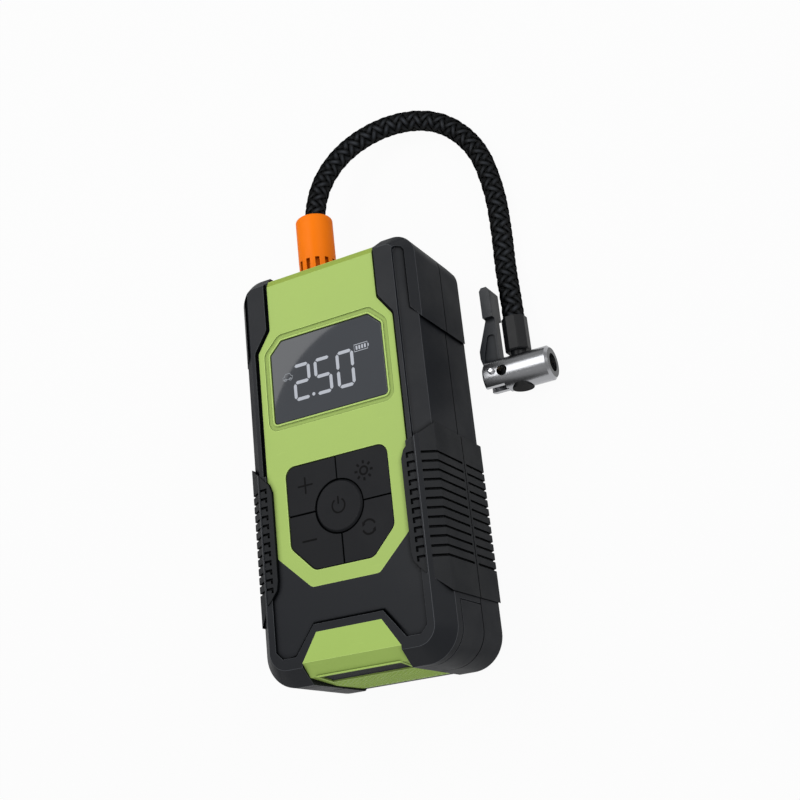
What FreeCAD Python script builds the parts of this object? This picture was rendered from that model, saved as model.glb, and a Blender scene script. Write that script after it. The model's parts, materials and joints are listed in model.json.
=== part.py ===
"""Portable tyre inflator, lying on its back with its short hose laid round beside it.

Frame: X to the device's right, Y towards the hose end, Z out of the display face. The back rests on
Z = 0, and the origin is at the middle of the housing. Lengths are in millimetres.
"""
import FreeCAD, Part
import Sketcher
import math
import os
import re

os.makedirs("parts", exist_ok=True)
doc = FreeCAD.newDocument("TyreInflator")

# Driving dimensions
SIZES = {
    # Outer form of the housing
    "thickness": 56.0,
    "half_width": 43.0,
    "half_length": 89.0,
    "floor_share": 5.0,
    "facet_width": 7.5,
    "facet_drop": 6.2,
    "top_corner": 10.0,
    "bottom_corner": 14.0,
    "guard_width": 16.4,
    "notch_flare": 1.8,
    "notch_depth": 4.1,
    "back_taper": 5.9,
    "taper_above_seam": 3.5,
    # Walls and fits
    "wall": 2.4,
    "side_wall": 3.6,
    "front_wall": 4.6,
    "end_wall": 4.5,
    "bottom_wall": 6.4,
    "cavity_corner": 9.0,
    "cavity_bevel": 4.0,
    "fit_gap": 0.15,
    "key_gap": 0.25,
    "running_gap": 0.05,
    # Scooped flanks between the upper guards and the grips
    "scoop_depth": 0.9,
    "scoop_width": 7.1,
    "tongue_inset": 3.1,
    "tongue_round": 1.5,
    "guard_foot": 54.1,
    "guard_side_foot": 50.2,
    "scoop_below_top": 9.0,
    # Face panel
    "panel_depth": 2.6,
    "face_sink": 1.0,
    "channel_width": 1.2,
    "channel_drop": 1.0,
    "neck_gap": 0.3,
    "neck_foot": 61.4,
    "panel_inset": 10.2,
    "panel_shoulder": 52.2,
    "panel_knee": -35.7,
    "panel_foot_inset": 17.4,
    "panel_foot": -52.1,
    "panel_round": 3.0,
    "panel_flange_drop": 12.0,
    # Display window
    "lens_inset": 5.7,
    "lens_top": 55.45,
    "lens_corner_drop": 5.55,
    "lens_corner": 5.8,
    "lens_foot": 18.8,
    "lens_round": 1.6,
    "lens_depth": 1.25,
    "lens_edge": 0.4,
    "bezel_lip": 0.9,
    "bezel_groove": 2.0,
    "bezel_depth": 0.7,
    "lcd_inset": 3.1,
    "lcd_margin": 3.3,
    "lcd_drop": 0.3,
    "lcd_skirt": 1.2,
    "lcd_skirt_height": 3.2,
    # Keypad
    "pad_inset": 8.8,
    "pad_top": -0.9,
    "pad_knee": -34.9,
    "pad_corner": 10.5,
    "pad_foot": -45.65,
    "pad_round": 4.5,
    "power_key_y": -21.85,
    "power_key_radius": 10.75,
    "power_key_rise": 0.6,
    "power_key_bevel": 0.8,
    "key_cap": 1.3,
    "key_drop": 0.3,
    "key_room": 0.7,
    "key_split": 0.5,
    "key_stem_wide": 9.0,
    "key_stem_deep": 8.0,
    "upper_key_inset": 8.5,
    "upper_key_y": -9.5,
    "lower_key_inset": 10.0,
    "lower_key_y": -32.5,
    "power_stem": 4.5,
    "key_length": 4.4,
    "key_mat_thickness": 1.0,
    "key_mat_margin": 3.5,
    # Grips
    "grip_depth": 2.2,
    "grip_rise": 0.4,
    "grip_width": 12.6,
    "grip_top": -2.6,
    "grip_top_step": 4.9,
    "grip_round": 1.2,
    "grip_top_round_y": -6.5,
    "grip_straight_top": -9.9,
    "grip_straight_foot": -47.1,
    "grip_foot_round": 0.7,
    "grip_foot_round_y": -50.7,
    "grip_foot": -54.4,
    "grip_foot_step": 3.7,
    "grip_side_top": 3.5,
    "grip_side_foot": -63.0,
    "rear_grip_width": 5.8,
    "rib_count": 12,
    "rib_first": -8.3,
    "rib_pitch": 3.76,
    "rib_groove": 0.9,
    "rib_depth": 0.8,
    "rib_margin": 2.3,
    "rear_rib_margin": 1.2,
    "rib_hook": 1.2,
    "rib_seam_gap": 1.5,
    # Raised line of the lower guards
    "guard_line_rise": 23.4,
    "guard_line_z": 43.6,
    "guard_line_width": 0.5,
    "guard_line_depth": 0.4,
    # Shadow gap along the seam
    "seam_gap": 0.5,
    "seam_gap_depth": 1.6,
    # Lower face recess
    "recess_inset": 9.2,
    "recess_rise": 10.7,
    "recess_corner": 3.0,
    "recess_arch_margin": 2.6,
    "recess_arch_step": 0.95,
    "recess_arch_rise": 3.1,
    # Bottom trim, measured up from the bottom end
    "trim_inset": 21.0,
    "trim_taper": 7.35,
    "trim_reach": 19.0,
    "trim_fold_rise": 7.9,
    "trim_bevel_rise": 2.6,
    "trim_bevel_drop": 5.2,
    "trim_belly_rise": 0.7,
    "trim_belly_above_seam": 5.5,
    "trim_tail_rise": 0.9,
    "trim_tail_z": 9.5,
    "trim_thickness": 2.5,
    # Port cover
    "cover_inset": 4.0,
    "cover_drop": 5.8,
    "cover_height": 10.6,
    "cover_thickness": 1.5,
    "cover_sink": 0.25,
    "cover_clearance": 0.45,
    "knuckle_radius": 0.9,
    "cover_rim": 1.0,
    "cover_rim_rise": 0.35,
    "cover_rim_round": 1.2,
    "charge_window_half": 9.0,
    "charge_window_margin": 1.4,
    # Boards and sockets
    "board_drop": 8.0,
    "board_thickness": 1.6,
    "board_gap": 0.7,
    "board_foot": -49.0,
    "board_head": 60.0,
    "board_corner": 2.0,
    "board_post": 2.3,
    "board_post_inset": 2.4,
    "board_post_margin": 3.2,
    "board_screw": 0.9,
    "board_screw_head": 1.9,
    "board_screw_head_height": 1.3,
    "board_screw_length": 4.5,
    "switch_side": 6.0,
    "switch_height": 1.5,
    "switch_plunger": 0.4,
    "switch_plunger_radius": 1.75,
    "controller_side": 12.0,
    "controller_height": 1.4,
    "coil_side": 10.0,
    "coil_height": 5.0,
    "capacitor_radius": 4.0,
    "capacitor_height": 9.0,
    "component_spread": 16.0,
    "component_margin": 13.0,
    "charge_board_drop": 12.8,
    "charge_board_half": 14.0,
    "charge_board_reach": 25.0,
    "charge_post_inset": 3.5,
    "charge_post_rise": 19.0,
    "socket_half": 4.5,
    "socket_height": 3.2,
    "socket_length": 7.4,
    "socket_rise": 5.0,
    "socket_wall": 0.5,
    "socket_clearance": 0.6,
    # Lamp
    "lamp_offset": 18.5,
    "lamp_margin": 4.6,
    "lamp_above_seam": 3.5,
    "lamp_height": 11.0,
    "lamp_board_margin": 2.0,
    "lamp_board_thickness": 1.2,
    "lamp_depth": 3.0,
    "lamp_sink": 0.3,
    "led_height": 1.0,
    "led_pitch_share": 0.3,
    "led_radius_share": 0.1,
    # Screws and posts
    "post_inset": 9.5,
    "upper_post_drop": 17.0,
    "middle_post_y": -10.0,
    "lower_post_rise": 16.0,
    "post_radius": 4.2,
    "screw_radius": 1.25,
    "screw_head": 2.8,
    "screw_head_height": 2.2,
    "screw_socket": 1.1,
    "screw_seat": 9.0,
    "screw_above_seam": 10.5,
    "screw_well": 3.2,
    # Vents on the back
    "vent_count": 7,
    "vent_pitch": 5.0,
    "vent_width": 2.0,
    "vent_inner": 4.0,
    "vent_inset": 19.0,
    "vent_above_crank": 14.0,
    # Cells
    "cell_gap": 0.5,
    "cell_spacing": 1.2,
    "cell_rise": 10.6,
    "cell_edge": 0.8,
    "cell_button": 3.2,
    "cell_button_height": 1.0,
    "cradle_height": 5.6,
    "cradle_margin": 2.2,
    "cradle_thickness": 2.0,
    "cradle_inset": 12.0,
    "tab_thickness": 0.3,
    "tab_half": 4.0,
    # Pump
    "pump_inset": 10.1,
    "crank_below_top": 81.0,
    "crank_gap": 21.4,
    "crank_radius": 5.0,
    "board_clearance": 12.0,
    "gear_teeth": 34,
    "pinion_teeth": 10,
    "gear_backlash": 0.12,
    "gear_face": 4.0,
    "gear_offset": 7.8,
    "gear_web": 1.4,
    "gear_hole": 2.6,
    "gear_hole_circle": 10.6,
    "gear_hole_count": 6,
    "axle_radius": 2.5,
    "hub_radius": 5.0,
    "bush_radius": 4.0,
    "crank_pin_radius": 2.0,
    "crank_pin_reach": 1.0,
    "axle_reach": 4.4,
    "clip_radius": 4.2,
    "clip_thickness": 0.8,
    "end_play": 0.3,
    "plate_offset": 10.5,
    "plate_thickness": 3.0,
    "plate_foot_gap": 1.4,
    "plate_above_pump": 19.0,
    "plate_corner": 6.0,
    "flange_above_crank": 32.0,
    "flange_half": 13.5,
    "flange_corner": 3.0,
    "motor_radius": 13.8,
    "motor_inset": 12.0,
    "motor_cap": 3.0,
    "motor_cap_radius": 5.0,
    "motor_boss": 3.9,
    "motor_boss_length": 2.4,
    "motor_wall": 1.0,
    "motor_room_start": 1.6,
    "motor_room_end": 3.4,
    "terminal_spread": 8.0,
    "core_radius": 9.2,
    "core_start": 5.0,
    "core_end": 8.0,
    "core_slot": 2.0,
    "core_slot_depth": 4.5,
    "core_slot_count": 3,
    "magnet_gap": 0.5,
    "magnet_split": 4.0,
    "shaft_radius": 1.15,
    "shaft_inset": 7.0,
    "saddle_inset": 17.0,
    "saddle_thickness": 3.0,
    "saddle_half": 11.0,
    "saddle_height": 15.0,
    "bore_radius": 9.6,
    "piston_gap": 0.1,
    "cylinder_radius": 11.0,
    "fin_radius": 12.8,
    "fin_count": 4,
    "fin_pitch": 2.6,
    "fin_gap": 1.2,
    "cylinder_length": 15.8,
    "rod_length": 36.5,
    "rod_thickness": 5.0,
    "rod_half": 3.0,
    "rod_eye": 4.6,
    "rod_web": 1.3,
    "piston_depth": 3.5,
    "cup_depth": 2.0,
    "head_plate": 3.0,
    "head_dome": 6.0,
    "head_dome_radius": 8.0,
    "head_floor": 1.5,
    "valve_room": 6.4,
    "valve_port": 0.9,
    "valve_radius": 2.6,
    "valve_height": 2.0,
    "outlet_radius": 3.0,
    "outlet_bore": 1.6,
    "outlet_hex": 5.0,
    "outlet_hex_length": 4.0,
    "outlet_sink": 4.0,
    "outlet_inset": 1.0,
    # Hose collar
    "collar_radius": 8.5,
    "collar_reach": 37.0,
    "collar_rim": 1.5,
    "collar_flange_radius": 10.5,
    "collar_flange": 2.2,
    "collar_slots": 12,
    "collar_slot_width": 1.9,
    "collar_slot_start": 2.6,
    "collar_slot_end": 16.1,
    "collar_slot_depth": 1.8,
    "collar_flare": 0.7,
    "collar_flare_length": 5.0,
    "hose_seat": 14.0,
    # Hose and ferrule
    "hose_radius": 4.5,
    "ferrule_flat": 5.15,
    "ferrule_length": 15.5,
    "ferrule_gap": 1.0,
    "ferrule_socket": 9.3,
    "neck_radius": 3.4,
    "neck_depth": 3.2,
    # Chuck
    "chuck_x": 66.6,
    "chuck_y": 31.3,
    "barrel_radius": 7.5,
    "barrel_length": 29.6,
    "barrel_rim": 1.1,
    "barrel_tail_edge": 0.8,
    "mouth_radius": 4.0,
    "mouth_depth": 7.0,
    "seal_length": 3.4,
    "seal_bore": 1.9,
    "seal_radius": 4.6,
    "plunger_radius": 3.1,
    "plunger_tip": 1.2,
    "plunger_travel": 0.25,
    "tail_slot": 5.6,
    "tail_slot_length": 9.4,
    "tail_cut": 2.2,
    "air_drilling": 1.2,
    "cheek_hole_radius": 2.35,
    "cheek_hole_offset": 9.2,
    "lever_pin_offset": 4.7,
    "lever_pin_lift": 0.5,
    "lever_pin_radius": 1.4,
    "lever_pin_inset": 1.0,
    "lever_pin_proud": 1.6,
    "lever_pin_edge": 0.5,
    "neck_hole_offset": 15.2,
    "plug_radius": 4.6,
    "plug_depth": 2.6,
    "plug_proud": 0.2,
    # Chuck lever, from its pin
    "lever_thickness": 5.0,
    "lever_hub": 4.0,
    "lever_left_foot": -6.2,
    "lever_left_foot_y": 8.6,
    "lever_left_knee_y": 12.0,
    "lever_waist_left": -1.8,
    "lever_waist_y": 25.0,
    "lever_right": 2.6,
    "arch_depth": 0.7,
    "arch_foot": 5.8,
    "arch_left": -4.2,
    "arch_knee": 9.0,
    "arch_top_left": -1.7,
    "arch_top": 18.4,
    "arch_right": 1.6,
    "arch_round": 1.5,
    "pad_left": -1.9,
    "pad_base": 25.6,
    "pad_tip": 39.6,
    "pad_tip_slant": 1.4,
    "pad_height": 10.0,
}

sheet = doc.addObject("Spreadsheet::Sheet", "Sizes")
for row, (alias, value) in enumerate(SIZES.items(), 1):
    sheet.set("A%d" % row, alias)
    sheet.set("B%d" % row, str(value))
    sheet.setAlias("B%d" % row, alias)
doc.recompute()

# Places and sizes that follow from the driving dimensions
PLACES = {
    "seam_height": "(thickness - floor_share) / 2",
    "taper_start": "seam_height + taper_above_seam",
    "face_plane": "thickness - face_sink",
    "key_plane": "face_plane - key_drop",
    "key_floor": "key_plane - key_cap - key_room",
    "guard_line_y": "-half_length + guard_line_rise",
    "notch_half": "half_width - guard_width",
    "scoop_inner": "half_width - scoop_width",
    "guard_inner": "half_width - tongue_inset",
    "scoop_top": "half_length - scoop_below_top",
    "neck_half": "notch_half - neck_gap",
    "panel_half": "half_width - panel_inset",
    "panel_foot_half": "panel_half - panel_foot_inset",
    "panel_flange_foot": "thickness - panel_flange_drop",
    "lens_half": "panel_half - lens_inset",
    "lens_top_half": "lens_half - lens_corner",
    "lens_shoulder": "lens_top - lens_corner_drop",
    "lcd_half": "lens_half - lcd_inset",
    "lcd_foot": "lens_foot + lcd_margin",
    "lcd_top": "lens_top - lcd_margin",
    "pad_half": "panel_half - pad_inset",
    "pad_foot_half": "pad_half - pad_corner",
    "upper_key_x": "pad_half - upper_key_inset",
    "lower_key_x": "pad_half - lower_key_inset",
    "key_foot": "thickness - key_length",
    "key_mat_half": "pad_half - key_mat_margin",
    "grip_inner": "half_width - grip_width",
    "grip_top_inner": "grip_inner + grip_top_step",
    "grip_top_round_x": "grip_inner + grip_round",
    "grip_foot_round_x": "grip_inner + grip_foot_round",
    "grip_foot_inner": "grip_inner + grip_foot_step",
    "rear_grip_inner": "half_width - rear_grip_width",
    "rib_inner": "grip_inner + rib_margin",
    "recess_half": "half_width - recess_inset",
    "recess_foot": "-half_length + recess_rise",
    "recess_arch_half": "trim_half + recess_arch_margin",
    "recess_arch_top_half": "trim_top_half + recess_arch_step",
    "recess_arch_top": "trim_top + recess_arch_rise",
    "trim_half": "half_width - trim_inset",
    "trim_top_half": "trim_half - trim_taper",
    "trim_top": "-half_length + trim_reach",
    "trim_fold": "-half_length + trim_fold_rise",
    "trim_bevel_y": "-half_length + trim_bevel_rise",
    "trim_bevel_z": "thickness - trim_bevel_drop",
    "trim_belly_y": "-half_length + trim_belly_rise",
    "trim_belly_z": "seam_height + trim_belly_above_seam",
    "trim_tail_y": "-half_length + trim_tail_rise",
    "cover_half": "trim_half - cover_inset",
    "cover_top": "thickness - cover_drop",
    "cover_foot": "cover_top - cover_height",
    "board_top": "thickness - board_drop",
    "board_half": "post_x - post_radius - board_gap",
    "board_post_x": "board_half - board_post_inset",
    "board_post_top": "board_head - board_post_margin",
    "board_post_foot": "board_foot + board_post_margin",
    "charge_board_top": "thickness - charge_board_drop",
    "charge_board_head": "-half_length + charge_board_reach",
    "charge_post_x": "charge_board_half - charge_post_inset",
    "charge_post_y": "-half_length + charge_post_rise",
    "socket_face": "-half_length + socket_rise",
    "pump_x": "-(notch_half - pump_inset)",
    "gear_right": "pump_x + gear_offset",
    "plate_left": "pump_x + plate_offset",
    "axle_end": "plate_left + axle_reach",
    "flange_left": "pump_x - flange_half",
    "lamp_left": "pump_x + lamp_offset",
    "lamp_right": "notch_half - lamp_margin",
    "led_pitch": "(lamp_right - lamp_left) * led_pitch_share",
    "led_radius": "(lamp_right - lamp_left) * led_radius_share",
    "lamp_foot": "seam_height + lamp_above_seam",
    "lamp_top": "lamp_foot + lamp_height",
    "post_x": "half_width - post_inset",
    "upper_post_y": "half_length - upper_post_drop",
    "lower_post_y": "-half_length + lower_post_rise",
    "screw_tip": "seam_height + screw_above_seam",
    "vent_outer": "half_width - vent_inset",
    "vent_first": "crank_y + vent_above_crank",
    "cell_radius": "(post_x - post_radius - cell_gap - cell_spacing) / 3",
    "cell_pitch": "2 * cell_radius + cell_spacing",
    "cell_foot": "-half_length + cell_rise",
    "cell_length": "crank_y - crank_gap - cell_foot",
    "cradle_half": "cell_pitch + cell_radius + cradle_margin",
    "pump_height": "seam_height",
    "crank_y": "half_length - crank_below_top",
    "gear_module": "(thickness - board_clearance) / (gear_teeth + pinion_teeth)",
    "motor_y": "crank_y + (thickness - board_clearance) / 2",
    "motor_length": "half_width - motor_inset - plate_left - plate_thickness",
    "shaft_tail": "half_width - shaft_inset",
    "saddle_x": "half_width - saddle_inset",
    "plate_foot_y": "crank_y - crank_gap + plate_foot_gap",
    "plate_top": "pump_height + plate_above_pump",
    "flange_y": "crank_y + flange_above_crank",
    "outlet_tip": "half_length - outlet_inset",
    "collar_tip": "half_length + collar_reach",
    "collar_slot_foot": "notch_floor + collar_slot_start",
    "collar_slot_tip": "notch_floor + collar_slot_end",
    "notch_floor": "half_length - notch_depth",
    "ferrule_foot": "chuck_y + barrel_radius + ferrule_gap",
    "ferrule_top": "ferrule_foot + ferrule_length",
    "ferrule_neck_foot": "chuck_y + barrel_radius - neck_depth",
    "lever_pin_foot": "lever_pin_inset",
    "lever_pin_head": "2 * barrel_radius + lever_pin_proud",
    "pad_right": "lever_right",
}

# Angle factors for walls that run parallel to the facets
FRONT_MITRE = "tan(atan(facet_drop / facet_width) / 2)"
SIDE_MITRE = "tan(atan(facet_width / facet_drop) / 2)"
FACET_SLOPE = "(facet_drop / facet_width)"
FACET_STRETCH = "sqrt(1 + (facet_drop / facet_width) ^ 2)"
FLAT_HALF = "(half_width - facet_width)"
FACET_FOOT = "(thickness - facet_drop)"
CHAMFER_SLANT = "tan(22.5)"
SHOULDER_MITRE = "tan(atan((panel_half - neck_half) / (neck_foot - panel_shoulder)) / 2)"


def bind(text):
    """Write a formula in the sheet's own names."""
    def named(match):
        word = match.group()
        if word in PLACES:
            return "(" + bind(PLACES[word]) + ")"
        return "Sizes." + word if word in SIZES else word
    return re.sub(r"[a-z_]\w*", named, text)


gauge = doc.addObject("App::FeaturePython", "Gauge")
gauge.addProperty("App::PropertyFloat", "Reading")


def size(formula):
    """A formula's value as a number."""
    gauge.setExpression("Reading", bind(formula))
    gauge.recompute()
    return gauge.Reading


# Shared ways of making a piece

def start_body(name):
    return doc.addObject("PartDesign::Body", name)


def origin_feature(body, role):
    return [item for item in body.Origin.OriginFeatures if item.Role == role][0]


def start_sketch(body, name, plane, height="0"):
    """A sketch parallel to a plane of its body; on the XZ plane the height counts along -Y."""
    sketch = body.newObject("Sketcher::SketchObject", name)
    sketch.AttachmentSupport = (origin_feature(body, plane + "_Plane"), "")
    sketch.MapMode = "FlatFace"
    sketch.setExpression("AttachmentOffset.Base.z", bind(height))
    return sketch


def fix_point(sketch, curve, end, x, y):
    """Hold one point of a curve at two formulas."""
    place = sketch.getPoint(curve, end)
    across = sketch.addConstraint(Sketcher.Constraint("DistanceX", -1, 1, curve, end, place.x))
    sketch.setExpression("Constraints[%d]" % across, bind(x))
    along = sketch.addConstraint(Sketcher.Constraint("DistanceY", -1, 1, curve, end, place.y))
    sketch.setExpression("Constraints[%d]" % along, bind(y))


def draw_outline(sketch, corners):
    """A closed outline through corners given as pairs of formulas."""
    count = len(corners)
    first = sketch.GeometryCount
    ring = [FreeCAD.Vector(9 * math.cos(2 * math.pi * k / count), 9 * math.sin(2 * math.pi * k / count), 0)
            for k in range(count)]
    for k in range(count):
        sketch.addGeometry(Part.LineSegment(ring[k], ring[(k + 1) % count]), False)
    for k in range(count):
        sketch.addConstraint(Sketcher.Constraint("Coincident", first + k, 2, first + (k + 1) % count, 1))
    for k, (x, y) in enumerate(corners):
        fix_point(sketch, first + k, 1, x, y)


def draw_circle(sketch, x, y, radius):
    index = sketch.addGeometry(Part.Circle(FreeCAD.Vector(1, 1, 0), FreeCAD.Vector(0, 0, 1), 2), False)
    fix_point(sketch, index, 3, x, y)
    rule = sketch.addConstraint(Sketcher.Constraint("Radius", index, 2))
    sketch.setExpression("Constraints[%d]" % rule, bind(radius))


def both_sides(corners):
    """Corners of the right half, then the same ones mirrored, as one outline."""
    left = [("-(%s)" % x, y) for x, y in reversed(corners)]
    return corners + left


def rectangle(left, right, low, high):
    return [(left, low), (right, low), (right, high), (left, high)]


def add_pad(body, sketch, length):
    """Thicken a sketch along +Z, +X or +Y."""
    pad = body.newObject("PartDesign::Pad", "Pad")
    pad.Profile = sketch
    pad.setExpression("Length", bind(length))
    pad.Reversed = sketch.AttachmentSupport[0][0].Role == "XZ_Plane"
    return pad


def level(plane, low):
    """Height of a sketch that starts a pad at a given place."""
    return "-(%s)" % low if plane == "XZ" else low


def prism(name, plane, corners, low, high):
    """A straight piece with one outline, from one level to another across its plane."""
    body = start_body(name)
    sketch = start_sketch(body, name + "_outline", plane, level(plane, low))
    draw_outline(sketch, corners)
    add_pad(body, sketch, "(%s) - (%s)" % (high, low))
    return body


def posts(name, places, radius, low, high):
    """Round posts of one radius that stand side by side along Z."""
    body = start_body(name)
    for x, y in places:
        sketch = start_sketch(body, name + "_circle", "XY", low)
        draw_circle(sketch, x, y, radius)
        add_pad(body, sketch, "(%s) - (%s)" % (high, low))
    return body


def rods(name, axis, places, radius, low, high):
    """Round cutters, or a single rod, along one row axis."""
    turns = {"X": FreeCAD.Rotation(FreeCAD.Vector(0, 1, 0), 90),
             "Y": FreeCAD.Rotation(FreeCAD.Vector(1, 0, 0), -90),
             "Z": FreeCAD.Rotation()}
    across = {"X": ("y", "z"), "Y": ("x", "z"), "Z": ("x", "y")}[axis]
    made = []
    for place in places:
        rod = doc.addObject("Part::Cylinder", name)
        rod.Placement = FreeCAD.Placement(FreeCAD.Vector(), turns[axis])
        rod.setExpression("Radius", bind(radius))
        rod.setExpression("Height", bind("(%s) - (%s)" % (high, low)))
        rod.setExpression("Placement.Base." + axis.lower(), bind(low))
        rod.setExpression("Placement.Base." + across[0], bind(place[0]))
        rod.setExpression("Placement.Base." + across[1], bind(place[1]))
        made.append(rod)
    return made[0] if len(made) == 1 else fuse(name + "s", made)


def block(name, corner, far_corner):
    """A plain box between two corners."""
    box = doc.addObject("Part::Box", name)
    for side, direction, near, far in zip(("Length", "Width", "Height"), "xyz", corner, far_corner):
        box.setExpression(side, bind("(%s) - (%s)" % (far, near)))
        box.setExpression("Placement.Base." + direction, bind(near))
    return box


def fuse(name, pieces):
    joined = doc.addObject("Part::MultiFuse", name)
    joined.Shapes = pieces
    joined.Refine = True
    return joined


def common(name, pieces):
    shared = doc.addObject("Part::MultiCommon", name)
    shared.Shapes = pieces
    shared.Refine = True
    return shared


def cut(name, base, tools):
    """Take one or more tools away from a piece."""
    rest = doc.addObject("Part::Cut", name)
    rest.Base = base
    rest.Tool = tools[0] if len(tools) == 1 else fuse(name + "_tools", tools)
    rest.Refine = True
    return rest


def compound(name, pieces):
    """Separate solids that share one node."""
    group = doc.addObject("Part::Compound", name)
    group.Links = pieces
    return group


def mirrored(name, source):
    """The same piece on the device's other side."""
    image = doc.addObject("Part::Mirroring", name)
    image.Source = source
    image.Normal = (1, 0, 0)
    return image


def turned(name, profile, axis, across):
    """A turned piece: a half profile of (station, radius) corners about a row axis."""
    body = start_body(name)
    sketch = start_sketch(body, name + "_profile", "XY")
    draw_outline(sketch, profile)
    round_form = body.newObject("PartDesign::Revolution", "Revolution")
    round_form.Profile = sketch
    round_form.ReferenceAxis = (sketch, ["H_Axis"])
    round_form.Angle = 360
    turns = {"X": FreeCAD.Rotation(),
             "Y": FreeCAD.Rotation(FreeCAD.Vector(0, 0, 1), 90),
             "Z": FreeCAD.Rotation(FreeCAD.Vector(0, 1, 0), -90)}
    body.Placement = FreeCAD.Placement(FreeCAD.Vector(), turns[axis])
    for direction, place in zip([d for d in "xyz" if d != axis.lower()], across):
        body.setExpression("Placement.Base." + direction, bind(place))
    return body


def edges_of(feature, wanted):
    """Names of the edges that a test picks out."""
    doc.recompute()
    return ["Edge%d" % k for k, edge in enumerate(feature.Shape.Edges, 1) if wanted(edge)]


def is_upright(edge):
    return edge.Curve.TypeId == "Part::GeomLine" and abs(edge.tangentAt(edge.FirstParameter).z) > 0.999


def round_edges(body, radius, wanted):
    """Fillet the picked edges of a body's last feature."""
    last = body.Tip
    names = edges_of(last, wanted)
    fillet = body.newObject("PartDesign::Fillet", "Fillet")
    fillet.Base = (last, names)
    fillet.setExpression("Radius", bind(radius))
    return fillet


def bevel_edges(body, along, wanted, drop=None):
    """Chamfer the picked edges, with one size or with a width and a drop."""
    last = body.Tip
    names = edges_of(last, wanted)
    chamfer = body.newObject("PartDesign::Chamfer", "Chamfer")
    chamfer.Base = (last, names)
    chamfer.setExpression("Size", bind(along))
    if drop:
        chamfer.ChamferType = "Two distances"
        chamfer.setExpression("Size2", bind(drop))
    return chamfer


def cut_sketch(body, plane, corners, low, high):
    """Pocket an outline out of a body between two levels, and see that it removed material."""
    before = volume_of(body)
    sketch = start_sketch(body, body.Name + "_cut", plane, level(plane, low))
    draw_outline(sketch, corners)
    pocket = body.newObject("PartDesign::Pocket", "Pocket")
    pocket.Profile = sketch
    pocket.setExpression("Length", bind("(%s) - (%s)" % (high, low)))
    pocket.Reversed = plane != "XZ"
    if volume_of(body) >= before:
        raise RuntimeError(body.Name + ": a pocket removed nothing")
    return pocket


def volume_of(body):
    doc.recompute()
    return body.Shape.Volume


# Outer form of the whole housing

def make_housing_form():
    """Rounded block with facets round its front and back, a notched top and a tapered rear top."""
    form = prism("housing_form", "XY", rectangle("-half_width", "half_width", "-half_length", "half_length"),
                 "0", "thickness")
    round_edges(form, "top_corner", lambda edge: is_upright(edge) and edge.CenterOfMass.y > 0)
    round_edges(form, "bottom_corner", lambda edge: is_upright(edge) and edge.CenterOfMass.y < 0)
    top = size("thickness")
    bevel_edges(form, "facet_width", lambda edge: edge.BoundBox.ZMin > top - 0.01, "facet_drop")
    bevel_edges(form, "facet_width", lambda edge: edge.BoundBox.ZMax < 0.01, "facet_drop")
    notch_floor = "half_length - notch_depth"
    cut_sketch(form, "XY", both_sides([("notch_half", notch_floor), ("notch_half + notch_flare", "half_length + 1")]),
               "-1", "thickness + 1")
    cut_sketch(form, "YZ", [("half_length", "taper_start"), ("half_length + 20", "taper_start"),
                            ("half_length + 20", "-1"),
                            ("half_length - back_taper * (taper_start + 1) / (taper_start - facet_drop)", "-1")],
               "-half_width - 1", "half_width + 1")
    cut_sketch(form, "YZ", [("trim_fold", "thickness"), ("trim_fold", "thickness + 1"),
                            ("-half_length - 5", "thickness + 1"), ("-half_length - 5", "-1"),
                            ("trim_tail_y", "-1"), ("trim_tail_y", "trim_tail_z"),
                            ("trim_belly_y", "trim_belly_z"), ("trim_bevel_y", "trim_bevel_z")],
               "-trim_half", "trim_half")
    return form


housing_form = make_housing_form()


# Regions of the outer form that belong to other pieces

def panel_outline():
    return both_sides([("neck_half", "half_length + 5"), ("neck_half", "neck_foot"),
                       ("panel_half", "panel_shoulder"), ("panel_half", "panel_knee"),
                       ("panel_foot_half", "panel_foot")])


def window_outline(margin):
    """The display window, grown by a margin."""
    slant = "(%s) * %s" % (margin, CHAMFER_SLANT)
    return both_sides([("lens_top_half + " + slant, "lens_top + (%s)" % margin),
                       ("lens_half + (%s)" % margin, "lens_shoulder + " + slant),
                       ("lens_half + (%s)" % margin, "lens_foot - (%s)" % margin)])


def keypad_outline(margin):
    """The keypad opening, grown by a margin."""
    slant = "(%s) * %s" % (margin, CHAMFER_SLANT)
    return both_sides([("pad_half + (%s)" % margin, "pad_top + (%s)" % margin),
                       ("pad_half + (%s)" % margin, "pad_knee - " + slant),
                       ("pad_foot_half + " + slant, "pad_foot - (%s)" % margin)])


def grip_outline():
    """Plan of a grip: it covers the flank, the facet and a strip of the face."""
    slope_top = "(grip_side_top - grip_top) / (half_width - grip_top_inner)"
    slope_foot = "(grip_side_foot - grip_foot) / (half_width - grip_foot_inner)"
    return [("grip_inner", "grip_straight_top"), ("grip_top_round_x", "grip_top_round_y"),
            ("grip_top_inner", "grip_top"),
            ("half_width + 3", "grip_side_top + 3 * " + slope_top),
            ("half_width + 3", "grip_side_foot + 3 * " + slope_foot),
            ("grip_foot_inner", "grip_foot"), ("grip_foot_round_x", "grip_foot_round_y"),
            ("grip_inner", "grip_straight_foot")]


def facet_corner(offset):
    """Where the face and the facet meet, moved outwards by an offset."""
    return "%s + (%s) * %s" % (FLAT_HALF, offset, FRONT_MITRE)


def flank_corner(offset):
    """Height at which the front facet meets the flank, moved outwards by an offset."""
    return "%s + (%s) * %s" % (FACET_FOOT, offset, SIDE_MITRE)


def rear_flank_corner(offset):
    return "facet_drop - (%s) * %s" % (offset, SIDE_MITRE)


def rear_facet_height(x, offset):
    """Height of the rear facet at a place across, moved outwards by an offset."""
    return "(%s - %s) * %s - (%s) * %s" % (x, FLAT_HALF, FACET_SLOPE, offset, FACET_STRETCH)


def front_facet_height(x, offset):
    return "thickness - (%s - %s) * %s + (%s) * %s" % (x, FLAT_HALF, FACET_SLOPE, offset, FACET_STRETCH)


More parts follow.
